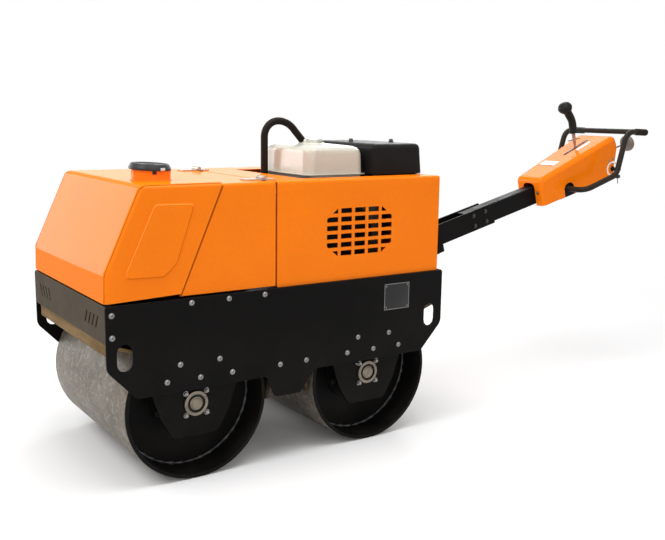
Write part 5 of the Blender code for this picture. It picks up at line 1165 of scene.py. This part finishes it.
def lever_grip():
    """The lever's grip, which widens into its knob, with its collar, rod and pin, and a dark sheet that paints the
    shade in its slot.
    """
    s, y = LEVER
    path = bent([arm(a, y, n) for a, n in LEVER_ROUTE], [0.06], 10)
    count = len(path) - 1
    radii = [1.16 - 0.1 * k / count + 0.14 * (k / count) ** 3 for k in range(count + 1)]
    lean = (path[-1] - path[-2]).normalized()
    knob = facing(arm(KNOB[0], y, KNOB[1]), lean) @ Matrix.Diagonal((KNOB_STRETCH, 1, 1, 1))
    grip = stamp(tube(path, GRIP_RADIUS, 8, radii), (turned(KNOB_PROFILE, 36), knob))
    make("lever_grip_finished", grip, "grip_plastic", "handle", ["lever_grip"], 50)
    foot = arm(s, y, LEVER_ROUTE[0][1])
    collar = turned(mm((6, 3.6), (14.2, 3.6), (15, 2.6), (15, -2.6), (14.2, -3.6), (6, -3.6)), 32,
        ring=True)
    make("lever_grip_collar", [(collar, facing(foot + ARM_UP * 0.004, ARM_UP))], "grip_plastic", "handle")
    rod = tube([arm(s, y, n) for n in ROD_HEIGHTS], LEVER_RADIUS, 6, ROD_WIDTHS)
    make("travel_lever_finished", rod, "worn_copper", "handle", ["travel_lever"], 50)
    wire = tube([arm(s - 0.02, y - 0.016, 0.146), arm(s + 0.02, y + 0.014, 0.149)], 0.0021, 4)
    make("travel_lever_pin", wire, "bare_steel", "handle")
    # a dark sheet on the box's top that paints the shade in the lever's slot
    make("lever_slot_shade", [(block((0.144, 0.014, 0.001), 0.0004), on_top(0.9115, y, 0.0002))],
        "socket_black", "handle")


BUTTON_END = 1.232
BUTTON_NUT = 1.052
BUTTON_RISE = 0.052
BUTTON_PROFILE = mm((0, 0), (10, -0.4), (20, -2.2), (28, -5.8), (32.5, -10), (34, -15), (33.2, -20),
    (29, -24.5), (18, -26.2), (10, -26.8), (9.6, -33), (7, -33.6), (3.5, -34), (3.5, -175), (0, -175))


def stop_button():
    """Mushroom button on its stem, and its lock nut."""
    button = facing(arm(BUTTON_END, 0, BUTTON_RISE), ARM_ALONG)
    make("stop_button_finished", [(turned(BUTTON_PROFILE, 48), button)], "grey_plastic", "handle",
        ["stop_button"], 35)
    nut = turned(mm((3.8, 5), (8.5, 5), (9.2, 4), (9.2, 0), (3.8, 0)), 6, ring=True)
    make("stop_button_nut", [(nut, facing(arm(BUTTON_NUT, 0, BUTTON_RISE), ARM_ALONG))], "plated_steel",
        "handle")


BOX_START = 0.6245         # along the arm
BOX_TOP = 0.067            # the box's height above the arm where it starts, and its slope
TOP_SLOPE = 0.068 / 0.4135
BOX_SIDE = 0.066           # the box's half width where it starts, and its slope
SIDE_SLOPE = 0.0275 / 0.4135
TOP_WAY = ARM_UP * math.cos(math.atan(TOP_SLOPE)) - ARM_ALONG * math.sin(math.atan(TOP_SLOPE))
SIDE_WAY = (Vector((0, math.cos(math.atan(SIDE_SLOPE)), 0)) - ARM_ALONG * math.sin(math.atan(SIDE_SLOPE)))
LABEL_ROUND = 0.0003
DIAL_PLACE = (1.003, 0.006)
SIDE_SCREWS = ((0.992, 0.043), (1.012, 0.045))
SIDE_SCREW_RADIUS = 0.0046
FRONT_SCREWS = (0.6235, 0.045, 0.013)    # along the arm, to each side of it, above it
FRONT_SCREW_RADIUS = 0.0062
TOP_SCREW = (0.879, 0.034)
TOP_SCREW_RADIUS = 0.0042


def box_top(along, across, lift=0.0):
    return arm(along, across, BOX_TOP + TOP_SLOPE * (along - BOX_START) + lift)


def box_side(along, above):
    return arm(along, BOX_SIDE + SIDE_SLOPE * (along - BOX_START), above)


def on_top(along, across, lift):
    """Carries a flat shape to a place on the box's top."""
    return lying(box_top(along, across, lift), TOP_WAY, ARM_ALONG)


def box_fittings():
    """Blank labels, the throttle's dial and lever, and the small screws of the control box."""
    wide = block((0.034, 0.074, 0.0008), LABEL_ROUND)
    long = block((0.082, 0.013, 0.0008), LABEL_ROUND)
    make("control_box_labels", [(wide, on_top(0.764, -0.012, 0.0002)),
        (long, on_top(0.928, 0.021, 0.0002))], "label_film", "handle")
    edge = block((0.0045, 0.066, 0.0009), LABEL_ROUND)
    make("control_box_label_edge", [(edge, on_top(0.7425, -0.016, 0.0003))], "label_grey", "handle")
    dial = turned(mm((24, 1), (30, 1), (30.4, 0.5), (30.4, 0), (23.5, 0), (23.5, 0.5)), 48, ring=True)
    middle = box_side(*DIAL_PLACE)
    make("throttle_dial", [(dial, facing(middle, SIDE_WAY))], "label_film", "handle")
    hub = turned(mm((0, 13), (5.5, 13), (6.5, 12), (6.5, 4), (10.5, 3.4), (10.5, 0), (0, 0)), 24)
    run = (ARM_ALONG * 0.9 - ARM_UP * 0.25).normalized()
    lever = block((0.032, 0.0085, 0.003), 0.001)
    tip = block((0.01, 0.011, 0.012), 0.0025)
    parts = [
        (hub, facing(middle, SIDE_WAY)),
        (lever, lying(middle + SIDE_WAY * 0.0095 + run * 0.012, SIDE_WAY, run)),
        (tip, lying(middle + SIDE_WAY * 0.014 + run * 0.026, SIDE_WAY, run)),
    ]
    make("throttle_lever", parts, "black_plastic", "handle")
    side = [facing(box_side(s, n), SIDE_WAY, s * 40) for s, n in SIDE_SCREWS]
    screws("control_box_side_screws", side, SIDE_SCREW_RADIUS, "handle", "bare_steel")
    s, y, n = FRONT_SCREWS
    front = [facing(arm(s, sign * y, n), -ARM_ALONG) for sign in SIDES.values()]
    screws("control_box_front_screws", front, FRONT_SCREW_RADIUS, "handle")
    screws("control_box_top_screw", [facing(box_top(*TOP_SCREW), TOP_WAY)], TOP_SCREW_RADIUS, "handle",
        "bare_steel")


FORK_BOLTS_ALONG = (0.2995, 0.358)
FORK_BOLTS_ABOVE = (-0.01944, 0.01944)
FORK_BOLT_HEIGHT = 0.0058
FORK_SIDE = 0.0312         # half width of the fork over its washers


def arm_fittings():
    """Bolts that join the fork to the arm tube, and the pivot pin's washers."""
    bolts = []
    for sign in SIDES.values():
        bolts += [facing(arm(s, sign * (FORK_SIDE + 0.0001), n), (0, sign, 0), s * 20)
                  for s in FORK_BOLTS_ALONG for n in FORK_BOLTS_ABOVE]
    hexes("handle_fork_bolts", bolts, BOLT_RADIUS, "handle", height=FORK_BOLT_HEIGHT)
    caps = [facing(arm(0, sign * FORK_SIDE, 0), (0, sign, 0)) for sign in SIDES.values()]
    washer = turned(mm((10.3, 2.2), (18.5, 2.2), (19, 1.6), (19, 0), (10.3, 0)), 32, ring=True)
    make("handle_pivot_washers", [(washer, caps)], "plated_steel", "handle")


def bar_clip():
    """Clamp with a hanging split pin below the bar's near bend."""
    clamp = block((0.017, 0.012, 0.012), 0.0025)
    place = lying(arm(0.9495, 0.16, -0.0065), (0, 1, 0), ARM_ALONG)
    make("handlebar_clip", [(clamp, place)], "dark_steel", "handle")
    pin = tube([arm(0.947, 0.16, -0.011), arm(0.944, 0.16, -0.033)], 0.0019, 3)
    make("handlebar_clip_pin", pin, "plated_steel", "handle")


# the bracket's cheeks stand between the box's walls and the room for cables, along the arm
BRACKET_START = 0.718
BRACKET_LENGTH = 0.118
BRACKET_HEIGHT = 0.098
BRACKET_RISE = 0.009
BRACKET_WALL = 0.003
BRACKET_HALF = 0.0655


def box_inner_bracket():
    """The folded steel bracket inside the control box that the handlebar is welded to."""
    def along_arm(s, y):
        return lying(arm(s, y, BRACKET_RISE), ARM_UP, ARM_ALONG)

    cheek = block((BRACKET_LENGTH, BRACKET_WALL, BRACKET_HEIGHT), 0.001)
    cheeks = [along_arm(BRACKET_START + BRACKET_LENGTH / 2, side * BRACKET_HALF) for side in (1, -1)]
    end = block((BRACKET_WALL, 2 * BRACKET_HALF, BRACKET_HEIGHT), 0.001)
    make("control_box_bracket", [(cheek, cheeks), (end, along_arm(BRACKET_START, 0))], "black_paint",
        "handle")


set_camera()
add_studio()
add_floor()
bpy.context.scene.view_settings.view_transform = "Standard"
keep_shells()
for drum_end in AXLES:
    drum(drum_end)
    for hub_side in SIDES:
        bearing(drum_end, hub_side)
    weld_bead(drum_end)
for build in (plate_screws, rating_plate, scraper_bolts, rubber_mounts, filler, fuel_cap,
              cleaner_nuts, breather_hose, engine, hood_bolts, nose, seam_strips, scraper_strip,
              handlebar, lever_grip, stop_button, box_fittings, arm_fittings, bar_clip,
              box_inner_bracket):
    build()
